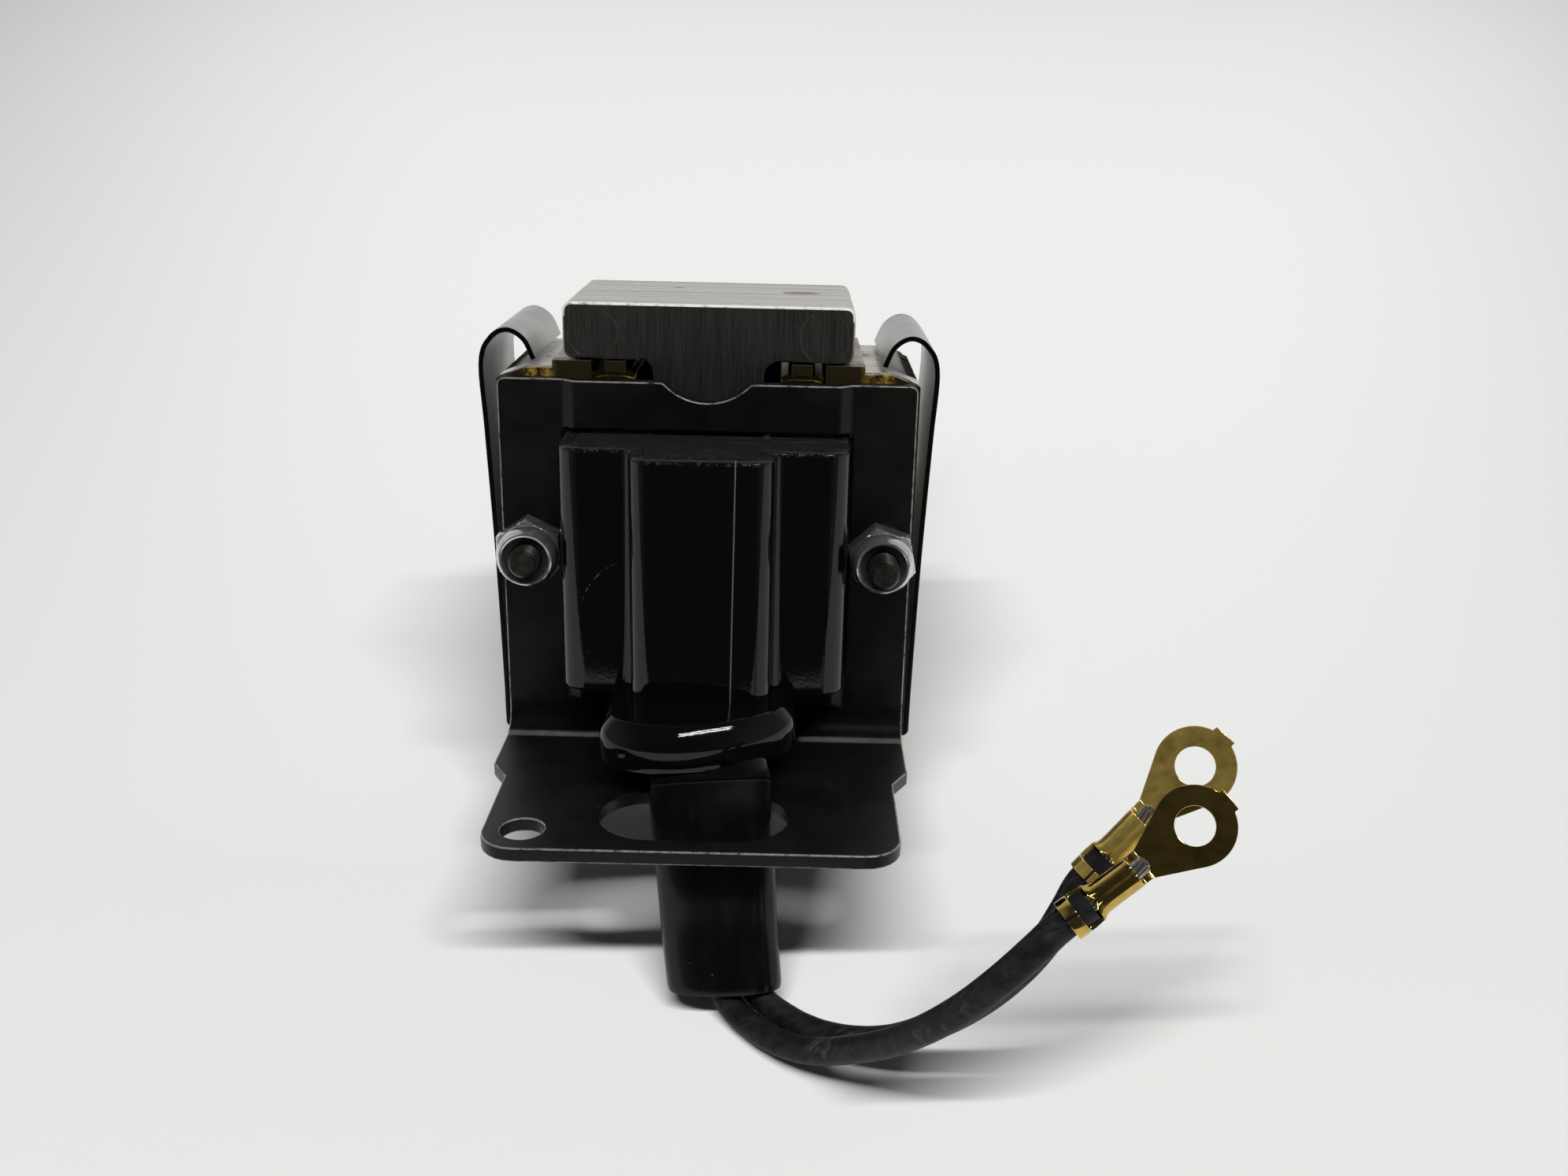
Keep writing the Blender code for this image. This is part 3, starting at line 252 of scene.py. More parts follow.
@dataclass(frozen=True)
class BlackOxide:
    """Satin black steel sheet, rubbed bright along its edges, with a painted highlight line along the foot of
    its bend.
    """

    black: Colour = (0.0030, 0.0030, 0.0032)
    rubbed: Colour = (0.0060, 0.0057, 0.0053)
    scratched: Colour = (0.10, 0.10, 0.10)
    speckled: Colour = (0.020, 0.019, 0.017)
    steel: Colour = (0.30, 0.285, 0.26)
    bend_glint_y: float = 0.0173
    bend_glint_x: float = 0.0128

    def make(self) -> Material:
        """Build the node material."""
        g = Graph("black_oxide")
        x, y, z = g.axes()
        side, ahead = abs(x), abs(y)
        cloud, fine = g.noise(210.0, 4.0), g.noise(2600.0, 3.0)
        scratch = g.grain((260.0, 260.0, 4200.0), 2.0, 0.55, (0.3, 0.5, 0.2)).ramp(0.66, 0.74)
        bare = g.attribute("wear").ramp(0.35, 0.95) * g.noise(620.0, 4.0, 0.7).ramp(0.32, 0.58)
        # Painted highlight: a thin line of bare-steel colour along the foot of the bend stands in for the
        # lamps' reflection there.
        bend_glint = ahead.near(self.bend_glint_y, 0.0009) * z.ramp(0.0030, 0.0024)
        bend_glint = bend_glint * side.ramp(self.bend_glint_x, self.bend_glint_x + 0.0012)
        bare = bare.max(bend_glint * g.noise(420.0, 4.0, 0.7).span(0.05, 0.55))
        bend = z.ramp(0.0018, 0.0021) * z.ramp(0.0075, 0.0055) * ahead.ramp(0.0185, 0.0178)
        upright = abs(g.facing()[1]).ramp(0.6, 0.9) * 0.55
        colour = g.over(self.black, (cloud.ramp(0.3, 0.75), self.rubbed), (scratch * 0.04, self.scratched),
                        (fine.ramp(0.58, 0.80) * 0.25, self.speckled), (bare, self.steel))
        return g.set(Base_Color=colour, Roughness=cloud.span(0.30, 0.36) + fine * 0.10, Metallic=bare * 0.5,
                     Specular_IOR_Level=bend.max(upright).span(0.38, 0.07), Normal=g.bump(fine, 0.000012))


@dataclass(frozen=True)
class CoreSteel:
    """Punched laminations: brushed faces, worn edges whitened into a painted highlight, varnish darkened into
    painted shade under the head, and specks of rust.
    """

    grey: Colour = (0.118, 0.113, 0.103)
    dark: Colour = (0.045, 0.043, 0.039)
    plates: tuple[Colour, Colour] = ((0.52, 0.51, 0.48), (0.72, 0.70, 0.66))
    worn_and_glint: Colour = (0.86, 0.84, 0.80)
    # Dark varnish colour, used also as painted shade under the plunger's head.
    varnish: Colour = (0.018, 0.0125, 0.0040)
    amber: Colour = (0.42, 0.26, 0.045)
    tan: Colour = (0.38, 0.27, 0.19)
    rust: Colour = (0.17, 0.085, 0.036)
    spots: tuple[tuple[float, float, float, float], ...] = ((0.0122, 0.0020, 0.0030, 0.0017),
                                                            (-0.0053, 0.0052, 0.0010, 0.0007))
    varnished: bool = False

    def make(self) -> Material:
        """Build the node material."""
        g = Graph("core_steel_varnished" if self.varnished else "core_steel_brushed")
        x, y, z = g.axes()
        _, out_y, out_z = g.facing()
        wear = g.attribute("wear")
        brushed = g.grain((5200.0, 1500.0, 170.0), 4.0, 0.7, (0.0, 0.05, 0.0))
        streaks = brushed * 0.8 + g.grain((900.0, 300.0, 40.0), 3.0, 0.5) * 0.2
        face = abs(out_y).ramp(0.7, 0.95)
        top = g.over(self.plates[0], (g.grain((20.0, 1600.0, 20.0), 1.0, 0.5).ramp(0.3, 0.7), self.plates[1]))
        colour = g.over(top, (face, g.over(self.dark, (streaks.ramp(0.27, 0.76), self.grey))))
        rough = brushed.span(0.36, 0.52)
        metal: Level = 0.85
        shine: Level = 0.5
        if self.varnished:
            side, level = abs(x), out_z.ramp(0.5, 0.8)
            varnish_and_pole_shade = (g.noise(180.0, 4.0) + y.ramp(-0.0095, -0.0122) * 0.38).ramp(0.52, 0.70)
            # Painted shade: the walls and lower faces round the poles, under the plunger's head, take the
            # dark varnish colour.
            pole_shade = z.ramp(0.0420, 0.0440) * side.ramp(0.0215, 0.0206)
            varnish_and_pole_shade = varnish_and_pole_shade.max(pole_shade * level.rest().max(z.ramp(0.0540, 0.0537)))
            strip = level * side.near(0.0200, 0.0016) * z.ramp(0.0538, 0.0541)
            gold = side.near(0.0228, 0.0027) * g.noise(520.0, 4.0, 0.7).ramp(0.40, 0.60)
            coat = g.over(self.varnish, (gold, self.amber))
            colour = g.over(colour, (strip * 0.75, self.tan), (varnish_and_pole_shade * 0.94, coat))
            wear = wear * varnish_and_pole_shade.rest()
            rough = rough - varnish_and_pole_shade * 0.20
            outside = (level * z.ramp(0.0526, 0.0522)).rest()
            metal, shine = varnish_and_pole_shade.span(0.85, 0.1) * outside, varnish_and_pole_shade.span(0.5, 0.14) * outside
        else:
            wear = wear * z.ramp(0.0596, 0.0606)
            # Painted shade: the stem's sides and the head's underside, below the head's top, take the dark
            # varnish colour.
            colour = g.over(colour, (z.ramp(0.0552, 0.0546) * face.rest(), self.varnish))
            ragged = (g.noise(700.0, 4.0, 0.7) - 0.5) * 1.6
            upper = out_z.ramp(0.5, 0.9) * z.ramp(0.0600, 0.0610)
            for place_x, place_y, reach_x, reach_y in self.spots:
                spot = ((x - place_x) / reach_x) ** 2.0 + ((y - place_y) / reach_y) ** 2.0 + ragged
                colour = g.over(colour, (spot.ramp(1.0, 0.5) * upper * 0.85, self.rust))
        # Worn edges are whitened and made less metallic so that they light up white: real wear and a painted
        # highlight together.
        bright = wear.ramp(0.2, 0.8) * g.noise(900.0, 4.0, 0.7).ramp(0.22, 0.50)
        colour = g.over(colour, (bright * 0.9, self.worn_and_glint))
        return g.set(Base_Color=colour, Roughness=rough, Metallic=bright.rest() * metal,
                     Specular_IOR_Level=shine, Normal=g.bump(streaks, 0.00003))


@dataclass(frozen=True)
class DullCopper:
    """Copper ring under dark varnish, golden along its edges."""

    bright: Colour = (0.52, 0.37, 0.095)
    browned: Colour = (0.034, 0.026, 0.009)

    def make(self) -> Material:
        """Build the node material."""
        g = Graph("dull_copper")
        cloud = g.noise(520.0, 4.0, 0.65)
        gold = g.attribute("wear").ramp(0.2, 0.9) * cloud.ramp(0.62, 0.40)
        return g.set(Base_Color=g.over(self.browned, (gold, self.bright)), Roughness=cloud.span(0.22, 0.4),
                     Metallic=0.8, Normal=g.bump(g.noise(3000.0, 2.0), 0.00001))


@dataclass(frozen=True)
class CoilMouldingBlack:
    """Glossy black moulding with a dusty, scratched top face and a pale scratch down its front."""

    black: Colour = (0.0021, 0.0021, 0.0023)
    dusty: Colour = (0.020, 0.020, 0.021)
    hair: Colour = (0.09, 0.09, 0.088)
    chipped: Colour = (0.12, 0.12, 0.115)
    scratch: Colour = (0.16, 0.155, 0.14)
    speck: Colour = (0.13, 0.13, 0.125)
    top: float = 0.0451
    front: float = -0.0296
    scratch_x: float = 0.00385
    scratch_lean: float = 0.012
    sweep_centre: Flat = (-0.0080, 0.0222)
    sweep_radius: float = 0.0082

    def make(self) -> Material:
        """Build the node material."""
        g = Graph("coil_moulding_black")
        x, y, z = g.axes()
        out_z = g.facing()[2]
        upper = out_z.ramp(0.55, 0.9) * z.ramp(self.top - 0.004, self.top - 0.002)
        dull = upper * g.noise(420.0, 4.0, 0.7).span(0.35, 1.0)
        hairs = upper * g.grain((70.0, 1300.0, 1300.0), 2.0, 0.5, (0.0, 0.0, 0.35)).ramp(0.64, 0.72)
        rim = z.ramp(self.top - 0.0007, self.top - 0.0004) * out_z.ramp(0.95, 0.45)
        rim = rim * g.noise(1500.0, 4.0, 0.7).ramp(0.48, 0.66)
        line = (x - z * self.scratch_lean).near(self.scratch_x, 0.00012)
        line = line * y.ramp(self.front + 0.0012, self.front)
        line = line * g.grain((200.0, 200.0, 420.0), 3.0, 0.6).span(0.25, 1.2) * z.ramp(0.0124, 0.0130)
        away = ((x - self.sweep_centre[0]) ** 2.0 + (z - self.sweep_centre[1]) ** 2.0) ** 0.5
        curved = away.near(self.sweep_radius, 0.00010) * x.ramp(-0.0112, -0.0126) * z.ramp(0.0236, 0.0252)
        marks = line.max(curved * g.noise(1500.0, 3.0).ramp(0.42, 0.6) * 0.45)
        specks = g.specks(330.0).ramp(0.055, 0.03) * g.noise(90.0, 2.0).ramp(0.5, 0.62)
        colour = g.over(self.black, (dull, self.dusty), (hairs * 0.6, self.hair), (rim * 0.30, self.chipped),
                        (marks, self.scratch), (specks * 0.5, self.speck))
        neck = z.ramp(0.0068, 0.0060)
        rough = g.noise(140.0, 4.0).span(0.03, 0.07) + dull.max(neck) * 0.38 + marks.max(rim) * 0.3
        return g.set(Base_Color=colour, Roughness=rough, Specular_IOR_Level=neck.span(0.36, 0.04),
                     Normal=g.bump(g.noise(1900.0, 3.0), 0.000004))


@dataclass(frozen=True)
class NaturalNylon:
    """Cream moulded nylon, soaked with dark varnish at its upper end."""

    cream: Colour = (0.62, 0.58, 0.48)
    shade: Colour = (0.50, 0.45, 0.35)
    soaked: Colour = (0.012, 0.010, 0.006)
    soaked_from: Flat = (0.030, 0.038)

    def make(self) -> Material:
        """Build the node material."""
        g = Graph("natural_nylon")
        cloud = g.noise(240.0, 3.0)
        colour = g.over(self.cream, (cloud, self.shade), (g.axes()[2].ramp(*self.soaked_from), self.soaked))
        return g.set(Base_Color=colour, Roughness=cloud.span(0.38, 0.55))


@dataclass(frozen=True)
class EnamelledWire:
    """Layers of enamelled copper wire."""

    copper: Colour = (0.40, 0.125, 0.035)
    shadow: Colour = (0.10, 0.028, 0.010)
    turns: float = 2200.0

    def make(self) -> Material:
        """Build the node material."""
        g = Graph("enamelled_wire")
        ridge = abs((g.axes()[2] * (self.turns * math.pi)).sum("SINE"))
        colour = g.over(self.shadow, (ridge.ramp(0.05, 0.6), self.copper))
        return g.set(Base_Color=colour, Roughness=g.noise(300.0).span(0.22, 0.36), Metallic=0.6,
                     Normal=g.bump(ridge, 0.0001))


@dataclass(frozen=True)
class Mottled:
    """Plain finish that wanders between two colours and two roughnesses, with a fine relief."""

    name: str
    colours: tuple[Colour, Colour]
    cells: tuple[float, float, float]
    rough: Flat
    metal: float = 0.0
    share: Optional[Flat] = None
    relief: Optional[tuple[Point, float, float]] = None

    def make(self) -> Material:
        """Build the node material."""
        g = Graph(self.name)
        cloud = g.noise(*self.cells)
        share = cloud.ramp(*self.share) if self.share else cloud
        if self.relief:
            scale, rough, depth = self.relief
            g.set(Normal=g.bump(g.grain(scale, 2.0, rough), depth))
        return g.set(Base_Color=g.over(self.colours[0], (share, self.colours[1])), Metallic=self.metal,
                     Roughness=cloud.span(*self.rough))


BRIGHT_ZINC = Mottled("bright_zinc", ((0.62, 0.64, 0.64), (0.36, 0.375, 0.375)), (620.0, 4.0, 0.6),
                      (0.11, 0.22), 0.92, (0.42, 0.72), ((2400.0, 9000.0, 2400.0), 0.5, 0.000006))
SCREW_STEEL = Mottled("screw_steel", ((0.022, 0.0205, 0.019), (0.054, 0.047, 0.040)), (700.0, 4.0, 0.65),
                      (0.30, 0.48), 0.8, (0.35, 0.7), ((5200.0, 5200.0, 5200.0), 0.55, 0.00001))
INSERT_NYLON = Mottled("insert_nylon", ((0.004, 0.0042, 0.005), (0.011, 0.0115, 0.013)), (900.0, 3.0, 0.55),
                       (0.35, 0.55))
TINNED_STRAND = Mottled("tinned_strand", ((0.66, 0.63, 0.57), (0.34, 0.31, 0.27)), (1500.0, 3.0, 0.55),
                        (0.20, 0.36), 1.0)


@dataclass(frozen=True)
class SatinSpring:
    """Rolled spring strip, satin, with lengthwise rolling marks and painted shade on its edges."""

    light: Colour = (0.50, 0.50, 0.49)
    grey: Colour = (0.34, 0.34, 0.335)
    edge_shade: Colour = (0.010, 0.010, 0.0102)

    def make(self) -> Material:
        """Build the node material."""
        g = Graph("satin_spring")
        marks = g.grain((160.0, 5200.0, 160.0), 3.0, 0.6)
        blend = marks * 0.5 + g.noise(150.0, 4.0) * 0.5
        # Painted shade: the faces that look front and back, the strip's edges, are painted near black.
        edge = abs(g.facing()[1]).ramp(0.55, 0.85)
        colour = g.over(self.grey, (blend.ramp(0.35, 0.68), self.light), (edge, self.edge_shade))
        return g.set(Base_Color=colour, Roughness=marks.span(0.26, 0.40), Metallic=0.9,
                     Normal=g.bump(marks, 0.000008))


@dataclass(frozen=True)
class GlossVinyl:
    """Glossy black vinyl tube with fine creases, specks of dust and a dull rim."""

    black: Colour = (0.0020, 0.0020, 0.0022)
    creased: Colour = (0.0040, 0.0040, 0.0043)
    dust: Colour = (0.13, 0.13, 0.125)
    rim: Colour = (0.012, 0.012, 0.0125)
    top: float = -0.0010

    def make(self) -> Material:
        """Build the node material."""
        g = Graph("gloss_vinyl")
        dull = g.axes()[2].ramp(self.top - 0.0045, self.top)
        cloud = g.grain((420.0, 420.0, 60.0), 3.0, 0.5)
        dots = g.specks(420.0).ramp(0.060, 0.035) * g.noise(160.0, 2.0).ramp(0.5, 0.6)
        colour = g.over(self.black, (cloud.ramp(0.4, 0.75), self.creased), (dots * 0.6, self.dust),
                        (g.attribute("wear").ramp(0.4, 1.0), self.rim))
        return g.set(Base_Color=colour, Roughness=cloud.span(0.16, 0.26) + dull * 0.2,
                     Specular_IOR_Level=dull.span(0.28, 0.05), Normal=g.bump(cloud, 0.00006))


@dataclass(frozen=True)
class LeadRubber:
    """Grey-black rubber insulation, matte, with scuffs and pale rubbed patches."""

    black: Colour = (0.0060, 0.0060, 0.0068)
    bloom: Colour = (0.019, 0.019, 0.021)
    scuff: Colour = (0.105, 0.102, 0.095)
    patch: Flat = (-0.0002, -0.0180)

    def make(self) -> Material:
        """Build the node material."""
        g = Graph("lead_rubber")
        x, y, z = g.axes()
        streak = g.grain((150.0, 1900.0, 900.0), 3.0, 0.6, (0.0, 0.0, -0.75))
        blotch = g.noise(330.0, 4.0, 0.6) * 0.55 + streak * 0.45
        rubbed = g.noise(120.0, 3.0, 0.6).ramp(0.58, 0.70) * streak.ramp(0.45, 0.65)
        away = (x - self.patch[0]) ** 2.0 + (z - self.patch[1]) ** 2.0
        patch = away.ramp(0.0000075, 0.0000015) * y.ramp(-0.0425, -0.0432)
        patch = patch * g.noise(900.0, 4.0, 0.7).ramp(0.40, 0.60)
        colour = g.over(self.black, (blotch.ramp(0.36, 0.66), self.bloom), (rubbed * 0.35, self.scuff),
                        (patch * 0.8, self.scuff))
        return g.set(Base_Color=colour, Roughness=blotch.span(0.62, 0.46), Specular_IOR_Level=0.16,
                     Normal=g.bump(g.noise(4200.0, 2.0) + blotch, 0.00003))


@dataclass(frozen=True)
class RawBrass:
    """Rolled brass, olive-brown on its flat faces and golden along its worked edges."""

    gold: Colour = (0.66, 0.47, 0.125)
    olive: Colour = (0.40, 0.28, 0.070)
    brown: Colour = (0.22, 0.135, 0.036)
    worked: Colour = (0.84, 0.66, 0.25)
    metal: float = 1.0

    def make(self) -> Material:
        """Build the node material."""
        g = Graph("raw_brass")
        rolled = g.grain((500.0, 2600.0, 500.0), 3.0, 0.6, (0.4, 0.2, 0.8))
        blotch = rolled * 0.35 + g.noise(260.0, 4.0, 0.6) * 0.65
        browned = g.noise(520.0, 4.0).ramp(0.55, 0.72) * 0.35
        colour = g.over(self.gold, (blotch.ramp(0.34, 0.66), self.olive), (browned, self.brown),
                        (g.attribute("wear").ramp(0.2, 0.9), self.worked))
        return g.set(Base_Color=colour, Roughness=blotch.span(0.09, 0.15), Metallic=self.metal,
                     Normal=g.bump(rolled, 0.00001))


WELD = 0.000002
MERGE_ANGLE = math.radians(0.6)
WORN_ANGLE = math.radians(75.0)
FINE_STEPS = 16
ROUND_STEPS = 64
CREASE = 32.0
SQUARE = 60.0


def smooth_line(points: Sequence[Point], spacing: float) -> list[Vector]:
    """Evenly spaced points along a smooth curve through the given ones.

    Args:
        points: The points to pass through.
        spacing: The distance between the results.

    Returns:
        The spaced points, both ends included.
    """
    route = [Vector(point) for point in points]
    route = [2 * route[0] - route[1]] + route + [2 * route[-1] - route[-2]]
    dense: list[Vector] = []
    for before, here, after, beyond in zip(route, route[1:], route[2:], route[3:]):
        for i in range(FINE_STEPS):
            t = i / FINE_STEPS
            dense.append(0.5 * (2 * here + (after - before) * t
                                + (2 * before - 5 * here + 4 * after - beyond) * t ** 2
                                + (3 * here - before - 3 * after + beyond) * t ** 3))
    dense.append(route[-2])
    travel = [0.0]
    for first, second in zip(dense, dense[1:]):
        travel.append(travel[-1] + (second - first).length)
    count = max(2, round(travel[-1] / spacing))
    result, k = [], 0
    for i in range(count + 1):
        target = travel[-1] * i / count
        while k < len(dense) - 2 and travel[k + 1] < target:
            k += 1
        result.append(dense[k].lerp(dense[k + 1], (target - travel[k]) / (travel[k + 1] - travel[k])))
    return result


def arc(centre: Flat, radius: float, start: float, end: float, steps: int) -> list[Flat]:
    """Points of an arc between two angles in degrees, both ends included."""
    angles = [math.radians(start + (end - start) * i / steps) for i in range(steps + 1)]
    return [(centre[0] + radius * math.cos(a), centre[1] + radius * math.sin(a)) for a in angles]


def rounded(corners: Sequence[Point], steps: int) -> list[Flat]:
    """Outline through corners, each rounded by its own radius.

    Args:
        corners: The x, y and radius of each corner, in order.
        steps: Facets of each rounding.

    Returns:
        The outline's points.
    """
    outline: list[Flat] = []
    for i, (x, y, radius) in enumerate(corners):
        here = Vector((x, y))
        back = (Vector(corners[i - 1][:2]) - here).normalized()
        ahead = (Vector(corners[(i + 1) % len(corners)][:2]) - here).normalized()
        half_turn = back.angle(ahead) / 2
        centre = here + (back + ahead).normalized() * radius / math.sin(half_turn)
        first = here + back * radius / math.tan(half_turn) - centre
        last = here + ahead * radius / math.tan(half_turn) - centre
        turn = first.angle_signed(last)
        for step in range(steps + 1):
            outline.append(tuple(centre + Matrix.Rotation(-turn * step / steps, 2) @ first))
    return outline


def inset(outline: Sequence[Flat], distance: float) -> list[Flat]:
    """Move each side of an anticlockwise outline inwards.

    Args:
        outline: The outline.
        distance: How far in.

    Returns:
        The smaller outline.
    """
    result = []
    for i, point in enumerate(outline):
        here = Vector(point)
        first = (here - Vector(outline[i - 1])).normalized().orthogonal()
        second = (Vector(outline[(i + 1) % len(outline)]) - here).normalized().orthogonal()
        normal = (first + second).normalized()
        result.append(tuple(here + normal * distance / normal.dot(first)))
    return result


def loft(rings: Sequence[Sequence[Point]], closed: bool = False) -> Solid:
    """Skin a row of rings.

    Args:
        rings: Rings with equal numbers of points.
        closed: Whether the last ring joins the first, instead of flat caps.

    Returns:
        The closed body.
    """
    bm = bmesh.new()
    loops = [[bm.verts.new(point) for point in ring] for ring in rings]
    pairs = list(zip(loops, loops[1:]))
    if closed:
        pairs.append((loops[-1], loops[0]))
    else:
        bm.faces.new(loops[0])
        bm.faces.new(loops[-1])
    for low, high in pairs:
        for i in range(len(low)):
            j = (i + 1) % len(low)
            bm.faces.new((low[i], low[j], high[j], high[i]))
    bmesh.ops.recalc_face_normals(bm, faces=bm.faces)
    return bm


def prism(outline: Sequence[Flat], low: float, high: float) -> Solid:
    """Straight upright prism between two heights."""
    return loft([[(x, y, z) for x, y in outline] for z in (low, high)])


def levelled_prism(outline: Sequence[Flat], levels: Sequence[Flat]) -> Solid:
    """Upright prism whose anticlockwise outline is drawn in by its own amount at each height."""
    return loft([[(x, y, height) for x, y in inset(outline, depth)] for depth, height in levels])


def arc_levels(low: float, arcs: Sequence[tuple[float, float, float, int]]) -> list[Flat]:
    """Levels of a prism's side that is made of arcs, from below upwards.

    Args:
        low: The lowest height.
        arcs: Radius, first and last rise of the surface's direction in degrees, and steps of each arc.

    Returns:
        Inset and height of each level, with no inset at the widest.
    """
    levels = [(0.0, low)]
    for radius, start, end, steps in arcs:
        depth, height = levels[-1]
        first = math.radians(start)
        for i in range(1, steps + 1):
            rise = math.radians(start + (end - start) * i / steps)
            levels.append((depth - radius * (math.cos(rise) - math.cos(first)),
                           height + radius * (math.sin(rise) - math.sin(first))))
    widest = min(depth for depth, _ in levels)
    return [(depth - widest, height) for depth, height in levels]


def turned(profile: Sequence[Flat], ring: bool = False) -> Solid:
    """Turn a profile about the Y axis.

    Args:
        profile: Radius and depth of each point.
        ring: Whether the profile closes on itself round a hole.

    Returns:
        The closed body.
    """
    bm = bmesh.new()
    rows = []
    for radius, depth in profile:
        points = arc((0, 0), radius, 0, 360, ROUND_STEPS)[:-1] if radius > 0 else [(0.0, 0.0)]
        rows.append([bm.verts.new((x, depth, z)) for x, z in points])
    for first, second in list(zip(rows, rows[1:])) + ([(rows[-1], rows[0])] if ring else []):
        for i in range(ROUND_STEPS):
            j = (i + 1) % ROUND_STEPS
            corners = [row[k % len(row)] for row, k in ((first, i), (first, j), (second, j), (second, i))]
            bm.faces.new(list(dict.fromkeys(corners)))
    bmesh.ops.recalc_face_normals(bm, faces=bm.faces)
    return bm


def sheet_body(front: Sequence[Sequence[Point]], back: Sequence[Sequence[Point]]) -> Solid:
    """Close two grids of points, the front and the back of a sheet, into one body.

    Args:
        front: Rows of points of the front.
        back: Rows of points of the back.

    Returns:
        The closed body.
    """
    bm = bmesh.new()
    grids = [[[bm.verts.new(point) for point in row] for row in grid] for grid in (front, back)]
    rows, columns = len(front), len(front[0])
    for grid in grids:
        for i in range(rows - 1):
            for j in range(columns - 1):
                bm.faces.new((grid[i][j], grid[i][j + 1], grid[i + 1][j + 1], grid[i + 1][j]))
    border = [(0, j) for j in range(columns - 1)] + [(i, columns - 1) for i in range(rows - 1)]
    border += [(rows - 1, j) for j in range(columns - 1, 0, -1)] + [(i, 0) for i in range(rows - 1, 0, -1)]
    for k, (i, j) in enumerate(border):
        m, n = border[(k + 1) % len(border)]
        bm.faces.new((grids[0][i][j], grids[0][m][n], grids[1][m][n], grids[1][i][j]))
    bmesh.ops.recalc_face_normals(bm, faces=bm.faces)
    return bm


def cad_copy(node: str) -> Solid:
    """Copy of a CAD node with its triangles merged into whole faces.

    Args:
        node: The node's name.

    Returns:
        The merged copy.
    """
    bm = bmesh.new()
    bm.from_mesh(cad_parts[node].data)
    bmesh.ops.remove_doubles(bm, verts=bm.verts, dist=WELD)
    bmesh.ops.dissolve_limit(bm, angle_limit=MERGE_ANGLE, verts=bm.verts, edges=bm.edges)
    return bm


def beside(point: Vector, lines: Sequence[tuple[Vector, Vector]], reach: float) -> bool:
    """Whether a point lies near one of some straight lines.

    Args:
        point: The point.
        lines: Start and end of each line.
        reach: The greatest distance that counts as near.

    Returns:
        True where it does.
    """
    for start, end in lines:
        along = end - start
        share = (point - start).dot(along) / max(along.length_squared, 1e-14)
        if (start + along * min(1.0, max(0.0, share)) - point).length < reach:
            return True
    return False


def soften(bm: Solid, width: float, steps: int = 3, sharp: float = 28.0,
           chosen: Callable[[bmesh.types.BMEdge], bool] = bool) -> Solid:
    """Round the sharp edges, and mark the roundings of the outer ones with the wear attribute.

    Args:
        bm: The body, which is changed.
        width: How far each rounding reaches.
        steps: Facets of each rounding.
        sharp: The least angle in degrees of an edge that is rounded.
        chosen: Test that picks among the sharp edges.

    Returns:
        The same body.
    """
    edges = [e for e in bm.edges if len(e.link_faces) == 2 and e.calc_face_angle(0.0) > math.radians(sharp)
             and chosen(e)]
    lines = [(e.verts[0].co.copy(), e.verts[1].co.copy()) for e in edges
             if e.calc_face_angle_signed(0.0) > WORN_ANGLE]
    made = bmesh.ops.bevel(bm, geom=edges, offset=width, offset_type="OFFSET", segments=steps, profile=0.5,
                           affect="EDGES", clamp_overlap=False)
    layer = bm.verts.layers.float.new("wear")
    strips = {face for face in made["faces"] if beside(face.calc_center_median(), lines, 1.5 * width)}
    for vert in bm.verts:
        vert[layer] = float(bool(vert.link_faces) and all(face in strips for face in vert.link_faces))
    return bm


def plain_mesh(name: str, bm: Solid, *finishes: Material) -> bpy.types.Mesh:
    """Turn a body into a mesh.

    Args:
        name: The mesh's name.
        bm: The body, which is used up.
        finishes: Its material, where it has one.

    Returns:
        The mesh.
    """
    mesh = bpy.data.meshes.new(name)
    bm.to_mesh(mesh)
    bm.free()
    for finish in finishes:
        mesh.materials.append(finish)
    return mesh


def absorb(bm: Solid, mesh: bpy.types.Mesh) -> None:
    """Add a mesh to a body; the mesh and its object are used up."""
    bm.from_mesh(mesh)
    bpy.data.meshes.remove(mesh)


def evaluated_mesh(piece: Piece) -> bpy.types.Mesh:
    """Plain mesh of an object with its modifiers applied."""
    bpy.context.view_layer.update()
    return bpy.data.meshes.new_from_object(piece.evaluated_get(bpy.context.evaluated_depsgraph_get()))


def link(name: str, data: bpy.types.ID) -> Piece:
    """Put a mesh, curve, lamp or camera into the scene at the origin.

    Args:
        name: The object's name.
        data: Its data.

    Returns:
        The object.
    """
    made = bpy.data.objects.new(name, data)
    bpy.context.scene.collection.objects.link(made)
    return made


def settle(piece: Piece, sharp: float = CREASE) -> Piece:
    """Shade a finished mesh smoothly, with its broad faces flat.

    Args:
        piece: The object, which is changed.
        sharp: The least angle in degrees that stays a crease.

    Returns:
        The same object.
    """
    piece.data.shade_smooth()
    piece.data.set_sharp_from_angle(angle=math.radians(sharp))
    even = piece.modifiers.new("even", "WEIGHTED_NORMAL")
    even.keep_sharp, even.weight = True, 60
    mesh = evaluated_mesh(piece)
    piece.modifiers.clear()
    piece.data = mesh
    return piece


def build(name: str, bm: Solid, finish: Material, sharp: float = CREASE) -> Piece:
    """Make a shaded object of a body, which is used up."""
    return settle(link(name, plain_mesh(name, bm, finish)), sharp)


